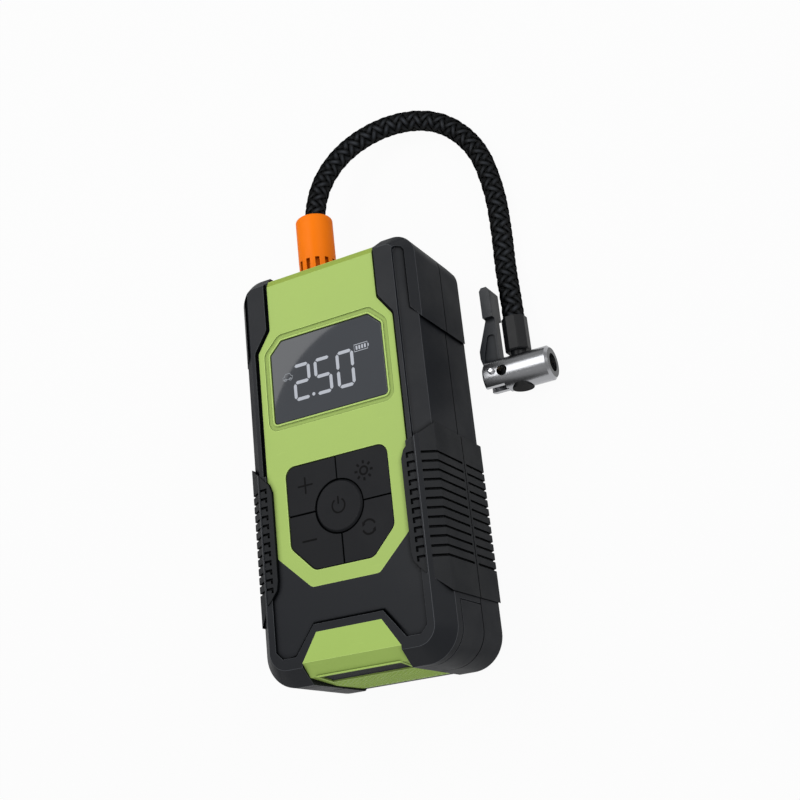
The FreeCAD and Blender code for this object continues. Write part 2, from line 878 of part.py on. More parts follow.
def front_grip_section(inner, outer, start, foot):
    """Band that follows the face, the facet and the flank between two offsets."""
    return [(start, "thickness + (%s)" % outer), (facet_corner(outer), "thickness + (%s)" % outer),
            ("half_width + (%s)" % outer, flank_corner(outer)), ("half_width + (%s)" % outer, foot),
            ("half_width + (%s)" % inner, foot), ("half_width + (%s)" % inner, flank_corner(inner)),
            (facet_corner(inner), "thickness + (%s)" % inner), (start, "thickness + (%s)" % inner)]


def rear_grip_section(inner, outer, start, top):
    """Band that follows the flank and the rear facet between two offsets."""
    return [("half_width + (%s)" % inner, top), ("half_width + (%s)" % outer, top),
            ("half_width + (%s)" % outer, rear_flank_corner(outer)), (start, rear_facet_height(start, outer)),
            (start, rear_facet_height(start, inner)), ("half_width + (%s)" % inner, rear_flank_corner(inner))]


def make_grip_blank(name, section):
    """A grip before its ribs are cut: its section swept along Y and trimmed to its plan."""
    band = prism(name + "_band", "XZ", section, "-half_length", "half_length")
    plan = prism(name + "_plan", "XY", grip_outline(), "-1", "thickness + 2")
    return common(name, [band, plan])


front_grip_blank = make_grip_blank("front_grip_blank", front_grip_section(
    "-grip_depth", "grip_rise", "grip_inner - 1", "seam_height"))
rear_grip_blank = make_grip_blank("rear_grip_blank", rear_grip_section(
    "-grip_depth", "grip_rise", "rear_grip_inner", "seam_height - seam_gap"))
front_grip_blank_left = mirrored("front_grip_blank_left", front_grip_blank)
rear_grip_blank_left = mirrored("rear_grip_blank_left", rear_grip_blank)


def make_panel_region():
    """Space of the face panel: a plate over the face and a flange over the top end."""
    region = prism("panel_plate", "XY", panel_outline(), "thickness - panel_depth", "thickness + 1")
    round_edges(region, "panel_round", lambda edge: is_upright(edge) and edge.CenterOfMass.y < size("half_length"))
    flange = block("panel_flange", ("-neck_half", "half_length - notch_depth - panel_depth", "panel_flange_foot"),
                   ("neck_half", "half_length + 1", "thickness + 1"))
    return fuse("panel_region", [region, flange])


def make_trim_region():
    """Space of the bottom trim: a band round the bottom end, trimmed to its plan."""
    inner = "trim_thickness"
    band = prism("trim_band", "YZ", [
        ("trim_top - 1 + trim_thickness", "thickness + 1"), ("-half_length - 5", "thickness + 1"),
        ("-half_length - 5", "trim_tail_z"), ("trim_tail_y + " + inner, "trim_tail_z"),
        ("trim_belly_y + " + inner, "trim_belly_z"),
        ("trim_bevel_y + " + inner, "trim_bevel_z - trim_thickness / 2"),
        ("trim_fold + trim_thickness / 2", "thickness - " + inner),
        ("trim_top - 1 + trim_thickness", "thickness - " + inner)], "-trim_half - 1", "trim_half + 1")
    plan = prism("trim_plan", "XY", both_sides([("trim_top_half", "trim_top"), ("trim_half", "trim_fold"),
                                                ("trim_half", "-half_length - 5")]), "-1", "thickness + 2")
    return common("trim_region", [band, plan])


def make_scoop():
    """Shallow scoop down the flank from the upper guard to the grip, with a tongue up the guard."""
    inset = "-scoop_depth"
    outside = "half_width + 3"
    band = prism("scoop_band", "XZ", [
        ("scoop_inner", "thickness + 1"), (outside, "thickness + 1"), (outside, "-1"), ("scoop_inner", "-1"),
        ("scoop_inner", rear_facet_height("scoop_inner", inset)),
        ("half_width - scoop_depth", rear_flank_corner(inset)),
        ("half_width - scoop_depth", flank_corner(inset)),
        ("scoop_inner", front_facet_height("scoop_inner", inset))], "-half_length", "half_length")
    guard_slope = "(guard_foot - guard_side_foot) / (half_width - guard_inner)"
    grip_slope = "(grip_side_top - grip_top) / (half_width - grip_top_inner)"
    plan = prism("scoop_plan", "XY", [
        ("scoop_inner", "scoop_top"), ("scoop_inner + 1", "scoop_top + tongue_round"),
        ("guard_inner - 1", "scoop_top + tongue_round"),
        ("guard_inner", "scoop_top"), ("guard_inner", "guard_foot"),
        (outside, "guard_side_foot - 3 * " + guard_slope), (outside, "grip_side_top + 3 * " + grip_slope),
        ("scoop_inner", "grip_top + (scoop_inner - grip_top_inner) * " + grip_slope)], "-2", "thickness + 2")
    return common("scoop", [band, plan])


panel_region = make_panel_region()
trim_region = make_trim_region()
scoop = make_scoop()
scoop_left = mirrored("scoop_left", scoop)


def make_face_recess():
    """Flat recess of the lower face, arched over the bottom trim."""
    recess = prism("face_recess", "XY", both_sides([
        ("panel_half - 1", "panel_knee"), ("recess_half", "grip_foot + 2"),
        ("recess_half", "recess_foot + recess_corner"), ("recess_half - recess_corner", "recess_foot"),
        ("recess_arch_half", "recess_foot"), ("recess_arch_top_half", "recess_arch_top")]),
        "face_plane", "thickness + 1")
    return recess


def make_channel():
    """Narrow channel that sets the face panel off from the guards on both sides."""
    lift = "channel_width * " + SHOULDER_MITRE
    channel = prism("guard_channel", "XY", both_sides([
        ("neck_half + channel_width", "half_length + 5"), ("neck_half + channel_width", "neck_foot + " + lift),
        ("panel_half + channel_width", "panel_shoulder + " + lift), ("panel_half + channel_width", "grip_top")]),
        "face_plane - channel_drop", "thickness + 1")
    low = size("panel_shoulder") - 1
    high = size("neck_foot") + 2
    round_edges(channel, "panel_round", lambda edge: is_upright(edge) and low < edge.CenterOfMass.y < high)
    return channel


def make_guard_lines():
    """Fine grooves that set the lower guards off from the flanks, round both lower corners."""
    low = "guard_line_z"
    high = "guard_line_z + guard_line_width"
    inset = "half_width - guard_line_depth"
    core = prism("guard_core", "XY", rectangle("-(%s)" % inset, inset, "-half_length + guard_line_depth",
                                               "guard_line_y"), low, high)
    end = size("guard_line_y") - 1
    round_edges(core, "bottom_corner - guard_line_depth", lambda edge: is_upright(edge) and edge.CenterOfMass.y < end)
    band = block("guard_band", ("-half_length", "-half_length - 5", low), ("half_length", "guard_line_y", high))
    uprights = [block("guard_upright", (near, "guard_line_y - guard_line_width", "seam_height"),
                      (far, "guard_line_y", high))
                for near, far in ((inset, "half_width + 1"), ("-half_width - 1", "-(%s)" % inset))]
    return [cut("guard_ring", band, [core])] + uprights


face_recess = make_face_recess()


# Housing shells

POST_PLACES = [(side + "post_x", row) for side in ("", "-")
               for row in ("upper_post_y", "middle_post_y", "lower_post_y")]
BOARD_POST_PLACES = [(side + "board_post_x", row) for side in ("", "-")
                     for row in ("board_post_top", "board_post_foot")]
CHARGE_POST_PLACES = [("charge_post_x", "charge_post_y"), ("-charge_post_x", "charge_post_y")]
KEY_PLACES = {"plus_key": ("-upper_key_x", "upper_key_y"), "lamp_key": ("upper_key_x", "upper_key_y"),
              "minus_key": ("-lower_key_x", "lower_key_y"), "mode_key": ("lower_key_x", "lower_key_y")}
CAVITY_TOP = "half_length - notch_depth - end_wall"
CAVITY_FOOT = "-half_length + bottom_wall"
FRONT_INSIDE = "thickness - front_wall"


def make_cavity(name, low, high, bevel_low):
    """Hollow of one shell, with rounded corners and a bevel along the inside of its facet."""
    half = "half_width - side_wall"
    cavity = prism(name, "XY", rectangle("-(%s)" % half, half, CAVITY_FOOT, CAVITY_TOP), low, high)
    round_edges(cavity, "cavity_corner", is_upright)
    box = cavity.Shape.BoundBox
    if bevel_low:
        bevel_edges(cavity, "cavity_bevel", lambda edge: edge.BoundBox.ZMax < box.ZMin + 0.01)
    else:
        bevel_edges(cavity, "cavity_bevel", lambda edge: edge.BoundBox.ZMin > box.ZMax - 0.01)
    return cavity


def stem_hole(name, x, y):
    """Guide hole of a key's stem through the face of the shell."""
    wide = "key_stem_wide / 2 + key_gap"
    deep = "key_stem_deep / 2 + key_gap"
    return prism(name + "_guide", "XY", rectangle("%s - (%s)" % (x, wide), "%s + %s" % (x, wide),
                                                  "%s - (%s)" % (y, deep), "%s + %s" % (y, deep)),
                 FRONT_INSIDE + " - 1", "thickness + 1")


def collar_hole():
    return rods("collar_hole", "Y", [("pump_x", "pump_height")], "collar_radius + fit_gap",
                CAVITY_TOP + " - 1", "half_length + 1")


def make_front_shell():
    """Front half of the housing: face, guards, screw posts and board posts in one moulding."""
    space = block("front_space", ("-half_length", "-half_length - 5", "seam_height"),
                  ("half_length", "half_length + 5", "thickness + 5"))
    half = common("front_half", [housing_form, space])
    cavity = make_cavity("front_cavity", "seam_height - 1", FRONT_INSIDE, False)
    key_well = prism("key_well", "XY", keypad_outline("0"), "key_floor", "thickness + 1")
    round_edges(key_well, "pad_round", is_upright)
    hollow = cut("front_hollow", half, [cavity, panel_region, trim_region, scoop, scoop_left, face_recess,
                                       make_channel(), key_well] + make_guard_lines())
    screw_posts = posts("front_posts", POST_PLACES, "post_radius", "seam_height", FRONT_INSIDE + " + 0.5")
    board_posts = posts("board_posts", BOARD_POST_PLACES, "board_post", "board_top", FRONT_INSIDE + " + 0.5")
    charge_posts = posts("charge_posts", CHARGE_POST_PLACES, "board_post", "charge_board_top",
                         FRONT_INSIDE + " + 0.5")
    solid = fuse("front_moulding", [hollow, screw_posts, board_posts, charge_posts])
    pilots = rods("front_pilot", "Z", POST_PLACES, "screw_radius + running_gap", "seam_height - 1", "screw_tip + 1")
    small_pilots = rods("board_pilot", "Z", BOARD_POST_PLACES + CHARGE_POST_PLACES, "board_screw + running_gap",
                        "charge_board_top - 1", FRONT_INSIDE)
    window = block("lcd_window", ("-lcd_half - key_gap", "lcd_foot - key_gap", FRONT_INSIDE + " - 1"),
                   ("lcd_half + key_gap", "lcd_top + key_gap", "thickness + 1"))
    guides = [stem_hole(name, x, y) for name, (x, y) in KEY_PLACES.items()]
    power_guide = rods("power_guide", "Z", [("0", "power_key_y")], "power_stem + key_gap",
                       FRONT_INSIDE + " - 1", "thickness + 1")
    socket_hole = block("socket_hole", ("-socket_half - socket_clearance", "-half_length",
                                        "charge_board_top - socket_clearance"),
                        ("socket_half + socket_clearance", CAVITY_FOOT + " + 1",
                         "charge_board_top + socket_height + socket_clearance"))
    lamp_hole = block("lamp_hole", ("lamp_left", CAVITY_TOP + " - 1", "lamp_foot"),
                      ("lamp_right", "half_length", "lamp_top"))
    return cut("front_shell", solid, [front_grip_blank, front_grip_blank_left, pilots, small_pilots, window,
                                      power_guide, socket_hole, lamp_hole, collar_hole()] + guides)


def make_cradle():
    """Two ribs with round saddles that the cells lie in."""
    foot = "cell_foot + cradle_inset"
    ribs = [block("cradle_rib", ("-cradle_half", y, "wall - 0.2"),
                  ("cradle_half", y + " + cradle_thickness", "wall + cradle_height"))
            for y in (foot, "cell_foot + cell_length - cradle_inset - cradle_thickness")]
    return cut("cradle", fuse("cradle_ribs", ribs), [rods(
        "cradle_saddle", "Y", CELL_PLACES, "cell_radius + running_gap", "cell_foot - 2",
        "cell_foot + cell_length + 2")])


def make_saddle():
    """Rib under the tail of the motor."""
    rib = block("motor_rib", ("saddle_x", "motor_y - saddle_half", "wall - 0.2"),
                ("saddle_x + saddle_thickness", "motor_y + saddle_half", "wall + saddle_height"))
    return cut("motor_saddle", rib, [rods("motor_clearance", "X", [("motor_y", "pump_height")],
                                          "motor_radius + running_gap", "saddle_x - 1",
                                          "saddle_x + saddle_thickness + 1")])


CELL_PLACES = [(side + "cell_pitch", "wall + cell_radius") for side in ("-", "0 * ", "")]


def make_vents():
    """Cutter for two columns of air slots."""
    slots = []
    for k in range(int(size("vent_count"))):
        low = "vent_first + %d * vent_pitch" % k
        for left, right in (("-vent_outer", "-vent_inner"), ("vent_inner", "vent_outer")):
            slots.append(block("vent_slot", (left, low, "-1"), (right, low + " + vent_width", "wall + 1")))
    return fuse("vents", slots)


def make_seam_gap():
    """Ring cut from the upper edge of the back shell, which leaves a dark line along the seam."""
    low = "seam_height - seam_gap"
    core = prism("seam_core", "XY", rectangle(
        "-half_width + seam_gap_depth", "half_width - seam_gap_depth", "-half_length + seam_gap_depth",
        "half_length - seam_gap_depth"), low, "seam_height")
    round_edges(core, "top_corner - seam_gap_depth", lambda edge: is_upright(edge) and edge.CenterOfMass.y > 0)
    round_edges(core, "bottom_corner - seam_gap_depth", lambda edge: is_upright(edge) and edge.CenterOfMass.y < 0)
    band = block("seam_band", ("-half_length", "-half_length - 5", low),
                 ("half_length", "half_length + 5", "seam_height"))
    return cut("seam_ring", band, [core])


def make_back_shell():
    """Back half of the housing: flat back, cell cradle, motor saddle and counterbored screw posts."""
    space = block("back_space", ("-half_length", "-half_length - 5", "-5"),
                  ("half_length", "half_length + 5", "seam_height"))
    half = common("back_half", [housing_form, space])
    cavity = make_cavity("back_cavity", "wall", "seam_height + 1", True)
    hollow = cut("back_hollow", half, [cavity, trim_region, scoop, scoop_left, make_seam_gap()])
    screw_posts = posts("back_posts", POST_PLACES, "post_radius", "wall - 0.5", "seam_height")
    solid = fuse("back_moulding", [hollow, screw_posts, make_cradle(), make_saddle()])
    holes = rods("screw_hole", "Z", POST_PLACES, "screw_radius + fit_gap", "-1", "seam_height + 1")
    wells = rods("screw_recess", "Z", POST_PLACES, "screw_well", "-1", "screw_seat")
    return cut("back_shell", solid, [rear_grip_blank, rear_grip_blank_left, holes, wells, make_vents(),
                                     collar_hole()])


# Face panel, window and bottom trim

def belly_line(z):
    """Where the bottom end's long face stands at a height."""
    return "trim_belly_y + (%s - trim_belly_z) * (trim_bevel_y - trim_belly_y) / (trim_bevel_z - trim_belly_z)" % z


def cover_section(outer, inner, low, high):
    """Slice parallel to the bottom end, between two depths and two heights."""
    return [(belly_line(low) + " + " + outer, low), (belly_line(high) + " + " + outer, high),
            (belly_line(high) + " + " + inner, high), (belly_line(low) + " + " + inner, low)]


def rounded_prism(name, corners, low, high, radius):
    body = prism(name, "XY", corners, low, high)
    round_edges(body, radius, is_upright)
    return body


def make_front_panel():
    """Face panel with its window, the moulded frame round the window, and the keypad opening."""
    below = block("below_face_plane", ("-half_width", "-half_length", "0"), ("half_width", "half_length", "face_plane"))
    plate = common("panel_form", [common("panel_space", [housing_form, below]), panel_region])
    window = rounded_prism("window_opening", window_outline("fit_gap"), "thickness - panel_depth - 1",
                           "thickness + 1", "lens_round + fit_gap")
    keypad = rounded_prism("keypad_opening", keypad_outline("0"), "thickness - panel_depth - 1",
                           "thickness + 1", "pad_round")
    frame_outside = rounded_prism("frame_outside", window_outline("bezel_lip + bezel_groove"),
                                  "face_plane - bezel_depth", "thickness + 1",
                                  "lens_round + bezel_lip + bezel_groove")
    frame_inside = rounded_prism("frame_inside", window_outline("bezel_lip"), "face_plane - bezel_depth - 1",
                                 "thickness + 2", "lens_round + bezel_lip")
    groove = cut("frame_groove", frame_outside, [frame_inside])
    return cut("front_panel", plate, [window, keypad, groove, front_grip_blank, front_grip_blank_left])


def make_display_lens():
    lens = rounded_prism("display_lens", window_outline("0"), "thickness - panel_depth",
                         "thickness - panel_depth + lens_depth", "lens_round")
    top = lens.Shape.BoundBox.ZMax
    bevel_edges(lens, "lens_edge", lambda edge: edge.BoundBox.ZMin > top - 0.01)
    return lens


def make_lcd():
    """Display glass in the shell's window, on a wider backlight tray that sits on the board."""
    glass = block("lcd_glass", ("-lcd_half", "lcd_foot", "board_top"),
                  ("lcd_half", "lcd_top", "thickness - panel_depth - lcd_drop"))
    tray = block("lcd_tray", ("-lcd_half - lcd_skirt", "lcd_foot - lcd_skirt", "board_top"),
                 ("lcd_half + lcd_skirt", "lcd_top + lcd_skirt", "board_top + lcd_skirt_height"))
    return fuse("lcd_module", [glass, tray])


KNUCKLE_PLACE = (belly_line("(cover_foot + knuckle_radius)") + " + cover_sink + cover_thickness / 2",
                 "cover_foot + knuckle_radius")


def make_bottom_trim():
    """Band round the bottom end, with the rimmed pocket of the port cover and the port behind it."""
    band = common("trim_form", [housing_form, trim_region])
    pocket = prism("cover_pocket", "YZ",
                   cover_section("-3", "cover_sink + cover_thickness + fit_gap", "cover_foot - fit_gap",
                                 "(cover_top + cover_clearance)"),
                   "-cover_half - key_gap", "cover_half + key_gap")
    port = block("port_opening", ("-charge_window_half", "-half_length - 5", "charge_board_top - charge_window_margin"),
                 ("charge_window_half", "-half_length + 10", "charge_board_top + socket_height + charge_window_margin"))
    rim = prism("cover_rim_form", "YZ", cover_section("-cover_rim_rise", "cover_sink", "cover_foot - fit_gap - cover_rim",
                                                      "(cover_top + cover_clearance + cover_rim)"),
                "-cover_half - key_gap - cover_rim", "cover_half + key_gap + cover_rim")
    wide = size("cover_half")
    round_edges(rim, "cover_rim_round", lambda edge: edge.BoundBox.XLength < 0.01 and edge.BoundBox.YLength < 1.5
                and edge.BoundBox.ZLength < 0.5 and abs(edge.CenterOfMass.x) > wide)
    roll = rods("knuckle_seat", "X", [KNUCKLE_PLACE], "knuckle_radius + fit_gap", "-cover_half - key_gap",
                "cover_half + key_gap")
    return cut("bottom_trim", fuse("rimmed_trim", [band, rim]), [pocket, port, roll])


def make_port_cover():
    """Soft cover over the charging port, with the round hinge roll along its lower edge."""
    flap = prism("cover_flap", "YZ", cover_section("cover_sink", "cover_sink + cover_thickness",
                                                   "(cover_foot + knuckle_radius)", "cover_top"),
                 "-cover_half", "cover_half")
    knuckle = rods("cover_knuckle", "X", [KNUCKLE_PLACE], "knuckle_radius", "-cover_half", "cover_half")
    return fuse("port_cover", [flap, knuckle])


# Grips

def make_rib_grooves():
    """Cutter for the rib grooves: one hooked slot, patterned down the grip."""
    body = start_body("rib_slots")
    sketch = start_sketch(body, "rib_slot", "XY")
    near = "rib_first - rib_groove / 2"
    draw_outline(sketch, [("rib_inner", "rib_first + rib_groove / 2"),
                          ("half_width + 2", "rib_first + rib_groove / 2"), ("half_width + 2", near),
                          ("rib_inner + rib_groove", near), ("rib_inner + rib_groove", near + " - rib_hook"),
                          ("rib_inner", near + " - rib_hook")])
    pad = add_pad(body, sketch, "thickness + 2")
    pattern = body.newObject("PartDesign::LinearPattern", "rib_pattern")
    pattern.Originals = [pad]
    pattern.Direction = (sketch, ["V_Axis"])
    pattern.Reversed = True
    pattern.setExpression("Length", bind("(rib_count - 1) * rib_pitch"))
    pattern.setExpression("Occurrences", bind("rib_count"))
    body.Tip = pattern
    return body


rib_slots = make_rib_grooves()


def make_grip(name, blank, section):
    """A grip with its ribs, and the same grip for the other side."""
    band = prism(name + "_rib_band", "XZ", section, "-half_length", "half_length")
    grooves = common(name + "_grooves", [rib_slots, band])
    right = cut(name + "_right", blank, [grooves])
    return right, mirrored(name + "_left", right)


front_grips = make_grip("front_grip", front_grip_blank, front_grip_section(
    "grip_rise - rib_depth", "grip_rise + 2", "rib_inner", "seam_height + rib_seam_gap"))
rear_grips = make_grip("rear_grip", rear_grip_blank, rear_grip_section(
    "grip_rise - rib_depth", "grip_rise + 2", "rear_grip_inner + rear_rib_margin",
    "seam_height - seam_gap - rib_seam_gap"))


# Keys, boards and cells

def make_key(name, right, upper):
    """One corner key: its share of the keypad round the power key, and the stem that guides it."""
    x, y = KEY_PLACES[name]
    field = rounded_prism(name + "_field", keypad_outline("-key_gap"), "key_plane - key_cap", "key_plane",
                          "pad_round - key_gap")
    left, far = ("key_split / 2", "half_width") if right else ("-half_width", "-key_split / 2")
    low, high = ("power_key_y + key_split / 2", "0") if upper else ("-half_length", "power_key_y - key_split / 2")
    quarter = block(name + "_quarter", (left, low, "key_plane - key_cap - 1"), (far, high, "thickness + 1"))
    share = common(name + "_share", [field, quarter])
    clearance = rods(name + "_clearance", "Z", [("0", "power_key_y")], "power_key_radius + key_split",
                     "key_plane - key_cap - 1", "thickness + 1")
    cap = cut(name + "_cap", share, [clearance])
    stem = block(name + "_stem", ("%s - key_stem_wide / 2" % x, "%s - key_stem_deep / 2" % y, "key_foot"),
                 ("%s + key_stem_wide / 2" % x, "%s + key_stem_deep / 2" % y, "key_plane - key_cap + 0.2"))
    return fuse(name, [cap, stem])


def make_power_key():
    """Round key with a bevelled, slightly raised cap and a round stem."""
    return turned("power_key", [
        ("key_foot", "0"), ("key_plane + power_key_rise", "0"),
        ("key_plane + power_key_rise", "power_key_radius - power_key_bevel"),
        ("key_plane + power_key_rise - power_key_bevel", "power_key_radius"), ("key_plane - key_cap", "power_key_radius"),
        ("key_plane - key_cap", "power_stem"), ("key_foot", "power_stem")], "Z", ("0", "power_key_y"))


SWITCH_FOOT = "board_top"
SWITCH_PLACES = list(KEY_PLACES.values()) + [("0", "power_key_y")]


def make_switches():
    """Five switches on the board, each a square base with a round plunger."""
    made = []
    for k, (x, y) in enumerate(SWITCH_PLACES):
        base = block("switch_base", ("%s - switch_side / 2" % x, "%s - switch_side / 2" % y, SWITCH_FOOT),
                     ("%s + switch_side / 2" % x, "%s + switch_side / 2" % y, SWITCH_FOOT + " + switch_height"))
        plunger = rods("switch_plunger", "Z", [(x, y)], "switch_plunger_radius", SWITCH_FOOT,
                       SWITCH_FOOT + " + switch_height + switch_plunger")
        made.append(fuse("switch_%d" % k, [base, plunger]))
    return compound("tact_switches", made)


def make_key_mat():
    """Soft mat between the keys and the switches."""
    mat = prism("key_mat", "XY", rectangle("-key_mat_half", "key_mat_half", "pad_foot + 3", "pad_top - 2"),
                "board_top + switch_height + switch_plunger",
                "board_top + switch_height + switch_plunger + key_mat_thickness")
    round_edges(mat, "pad_round", is_upright)
    return mat


def make_board(name, half, foot, head, top, screws):
    """A circuit board with rounded corners and its screw holes."""
    plate = prism(name + "_blank", "XY", rectangle("-" + half, half, foot, head), top + " - board_thickness", top)
    round_edges(plate, "board_corner", is_upright)
    holes = rods(name + "_hole", "Z", screws, "board_screw + fit_gap", top + " - board_thickness - 1", top + " + 1")
    return cut(name, plate, [holes])


def make_board_screws():
    """Small pan-head screws that hold both boards up to their posts."""
    made = []
    for places, top in ((BOARD_POST_PLACES, "board_top"), (CHARGE_POST_PLACES, "charge_board_top")):
        seat = top + " - board_thickness"
        for x, y in places:
            made.append(turned("board_screw_%d" % len(made), [
                (seat + " - board_screw_head_height", "0"), (seat + " + board_screw_length", "0"),
                (seat + " + board_screw_length", "board_screw"), (seat, "board_screw"),
                (seat, "board_screw_head"), (seat + " - board_screw_head_height + 0.4", "board_screw_head"),
                (seat + " - board_screw_head_height", "board_screw_head - 0.4")], "Z", (x, y)))
    return compound("board_screws", made)


def make_board_parts():
    """Controller, coil and two capacitors under the board."""
    under = "board_top - board_thickness"
    row = "board_foot + component_margin"
    chip = block("controller", ("-controller_side / 2", row + " - controller_side / 2", under + " - controller_height"),
                 ("controller_side / 2", row + " + controller_side / 2", under))
    coil = prism("coil", "XY", rectangle("component_spread - coil_side / 2", "component_spread + coil_side / 2",
                                         row + " - coil_side / 2", row + " + coil_side / 2"),
                 under + " - coil_height", under)
    round_edges(coil, "board_corner", is_upright)
    cans = rods("capacitor", "Z", [("-component_spread", row + " - capacitor_radius - 0.5"),
                                   ("-component_spread", row + " + capacitor_radius + 0.5")],
                "capacitor_radius", under + " - capacitor_height", under)
    return compound("board_parts", [chip, coil, cans])


def make_socket():
    """Charging socket: a flat rounded sleeve with its tongue."""
    middle = "charge_board_top + socket_height / 2"
    sleeve = prism("socket_sleeve", "XZ", rectangle("-socket_half", "socket_half", "charge_board_top",
                                                    "charge_board_top + socket_height"),
                   "socket_face", "socket_face + socket_length")
    round_edges(sleeve, "socket_height / 2 - 0.1", lambda edge: abs(edge.BoundBox.YLength - edge.Length) < 0.01)
    depth = "socket_face + socket_length - 3 * socket_wall"
    mouth = block("socket_mouth", ("-socket_half + socket_wall", "socket_face - 1", "charge_board_top + socket_wall"),
                  ("socket_half - socket_wall", depth, "charge_board_top + socket_height - socket_wall"))
    tongue = block("socket_tongue", ("-socket_half + 3 * socket_wall", "socket_face + 1", middle + " - 0.35"),
                   ("socket_half - 3 * socket_wall", depth + " + 0.5", middle + " + 0.35"))
    return fuse("charge_socket", [cut("socket_shell", sleeve, [mouth]), tongue])


def make_cells():
    """Three round cells lying along Y, each with its raised contact."""
    foot = "cell_foot"
    made = []
    for k, (x, z) in enumerate(CELL_PLACES):
        end = foot + " + cell_length"
        made.append(turned("cell_%d" % k, [
            (foot, "0"), (end, "0"), (end, "cell_button"), (end + " - cell_button_height", "cell_button"),
            (end + " - cell_button_height", "cell_radius - cell_edge"),
            (end + " - cell_button_height - cell_edge", "cell_radius"), (foot + " + cell_edge", "cell_radius"),
            (foot, "cell_radius - cell_edge")], "Y", (x, z)))
    return compound("battery_cells", made)


def make_cell_tabs():
    """Thin strips that join the cells at either end."""
    made = []
    for low in ("cell_foot - tab_thickness", "cell_foot + cell_length"):
        made.append(block("cell_tab", ("-cell_pitch - tab_half", low, "wall + cell_radius - tab_half"),
                          ("cell_pitch + tab_half", low + " + tab_thickness", "wall + cell_radius + tab_half")))
    return compound("cell_tabs", made)


# Lamp at the hose end

def make_lamp_lens():
    lens = prism("lamp_lens", "XZ", rectangle("lamp_left + fit_gap", "lamp_right - fit_gap", "lamp_foot + fit_gap",
                                              "lamp_top - fit_gap"),
                 "half_length - notch_depth - lamp_sink - lamp_depth", "half_length - notch_depth - lamp_sink")
    return lens


def make_lamp_board():
    return block("lamp_board", ("lamp_left - lamp_board_margin", CAVITY_TOP + " - lamp_board_thickness",
                                "lamp_foot - lamp_board_margin"),
                 ("lamp_right + lamp_board_margin", CAVITY_TOP, "lamp_top + lamp_board_margin"))


def make_lamp_leds():
    middle_x = "(lamp_left + lamp_right) / 2"
    middle_z = "(lamp_foot + lamp_top) / 2"
    made = [turned("led_%d" % k, [(CAVITY_TOP, "0"), (CAVITY_TOP + " + led_height", "0"),
                                  (CAVITY_TOP + " + led_height", "led_radius - 0.6"),
                                  (CAVITY_TOP + " + led_height - 0.6", "led_radius"), (CAVITY_TOP, "led_radius")],
                   "Y", ("%s + (%d) * led_pitch" % (middle_x, k - 1), middle_z)) for k in range(3)]
    return compound("lamp_leds", made)


# Screws of the housing

def make_housing_screws():
    made = []
    for k, (x, y) in enumerate(POST_PLACES):
        crown = "screw_seat - screw_head_height"
        made.append(turned("housing_screw_%d" % k, [
            (crown + " + 0.9", "0"), ("screw_tip", "0"), ("screw_tip", "screw_radius / 2"),
            ("screw_tip - 1.2", "screw_radius"), ("screw_seat", "screw_radius"), ("screw_seat", "screw_head"),
            (crown + " + 0.5", "screw_head"), (crown, "screw_head - 0.5"), (crown, "screw_socket"),
            (crown + " + 0.9", "screw_socket")], "Z", (x, y)))
    return compound("housing_screws", made)


# Pump

CRANK_PLACE = ("crank_y", "pump_height")
MOTOR_PLACE = ("motor_y", "pump_height")
PUMP_PLACE = ("pump_x", "pump_height")
GEAR_LEFT = "gear_right - gear_face"
CYLINDER_TIP = "flange_y + cylinder_length"
CROWN = "crank_y - crank_radius + rod_length"


def involute_point(base, radius, tilt):
    """Point of an involute at a radius, turned by a tilt."""
    pressure = math.acos(base / radius)
    angle = tilt + math.tan(pressure) - pressure
    return FreeCAD.Vector(0, radius * math.cos(angle), radius * math.sin(angle))


def gear_outline(teeth, module, backlash, turn):
    """Wire of a spur gear about the X axis, with a tooth standing at the given turn."""
    pitch = teeth * module / 2
    base = pitch * math.cos(math.radians(20))
    tip = pitch + module
    root = pitch - 1.2 * module
    start = max(base * 1.001, root)
    half_tooth = math.pi / (2 * teeth) - backlash / (2 * pitch)
    pressure = math.radians(20)
    flank_tilt = half_tooth + math.tan(pressure) - pressure
    edges = []
    flank_radii = [start + (tip - start) * k / 4 for k in range(5)]
    for k in range(teeth):
        middle = turn + 2 * math.pi * k / teeth
        rising = [involute_point(base, r, 0) for r in flank_radii]
        first = [rotated(point, middle - flank_tilt) for point in rising]
        second = [rotated(FreeCAD.Vector(0, point.y, -point.z), middle + flank_tilt) for point in rising]
        root_start = root_point(root, first[0])
        root_end = root_point(root, second[0])
        following = rotated(root_start, 2 * math.pi / teeth)
        edges.append(Part.LineSegment(root_start, first[0]).toShape())
        edges.append(flank_curve(first))
        edges.append(Part.Arc(first[-1], rotated(FreeCAD.Vector(0, tip, 0), middle), second[-1]).toShape())
        edges.append(flank_curve(list(reversed(second))))
        edges.append(Part.LineSegment(second[0], root_end).toShape())
        valley = rotated(FreeCAD.Vector(0, root, 0), middle + math.pi / teeth)
        edges.append(Part.Arc(root_end, valley, following).toShape())
    return Part.Wire(edges)


def rotated(point, angle):
    """A point turned about the X axis."""
    cosine = math.cos(angle)
    sine = math.sin(angle)
    return FreeCAD.Vector(point.x, point.y * cosine - point.z * sine, point.y * sine + point.z * cosine)


def root_point(root, above):
    return above * (root / above.Length)


def flank_curve(points):
    curve = Part.BSplineCurve()
    curve.interpolate(points)
    return curve.toShape()


def make_gear_rim(name, teeth, place, turn):
    """Toothed blank of one gear, as thick as the gear face."""
    gear = doc.addObject("Part::Feature", name)
    wire = gear_outline(int(size(teeth)), size("gear_module"), size("gear_backlash"), turn)
    gear.Shape = Part.Face(wire).extrude(FreeCAD.Vector(size("gear_face"), 0, 0))
    gear.setExpression("Placement.Base.x", bind(GEAR_LEFT))
    gear.setExpression("Placement.Base.y", bind(place[0]))
    gear.setExpression("Placement.Base.z", bind(place[1]))
    return gear


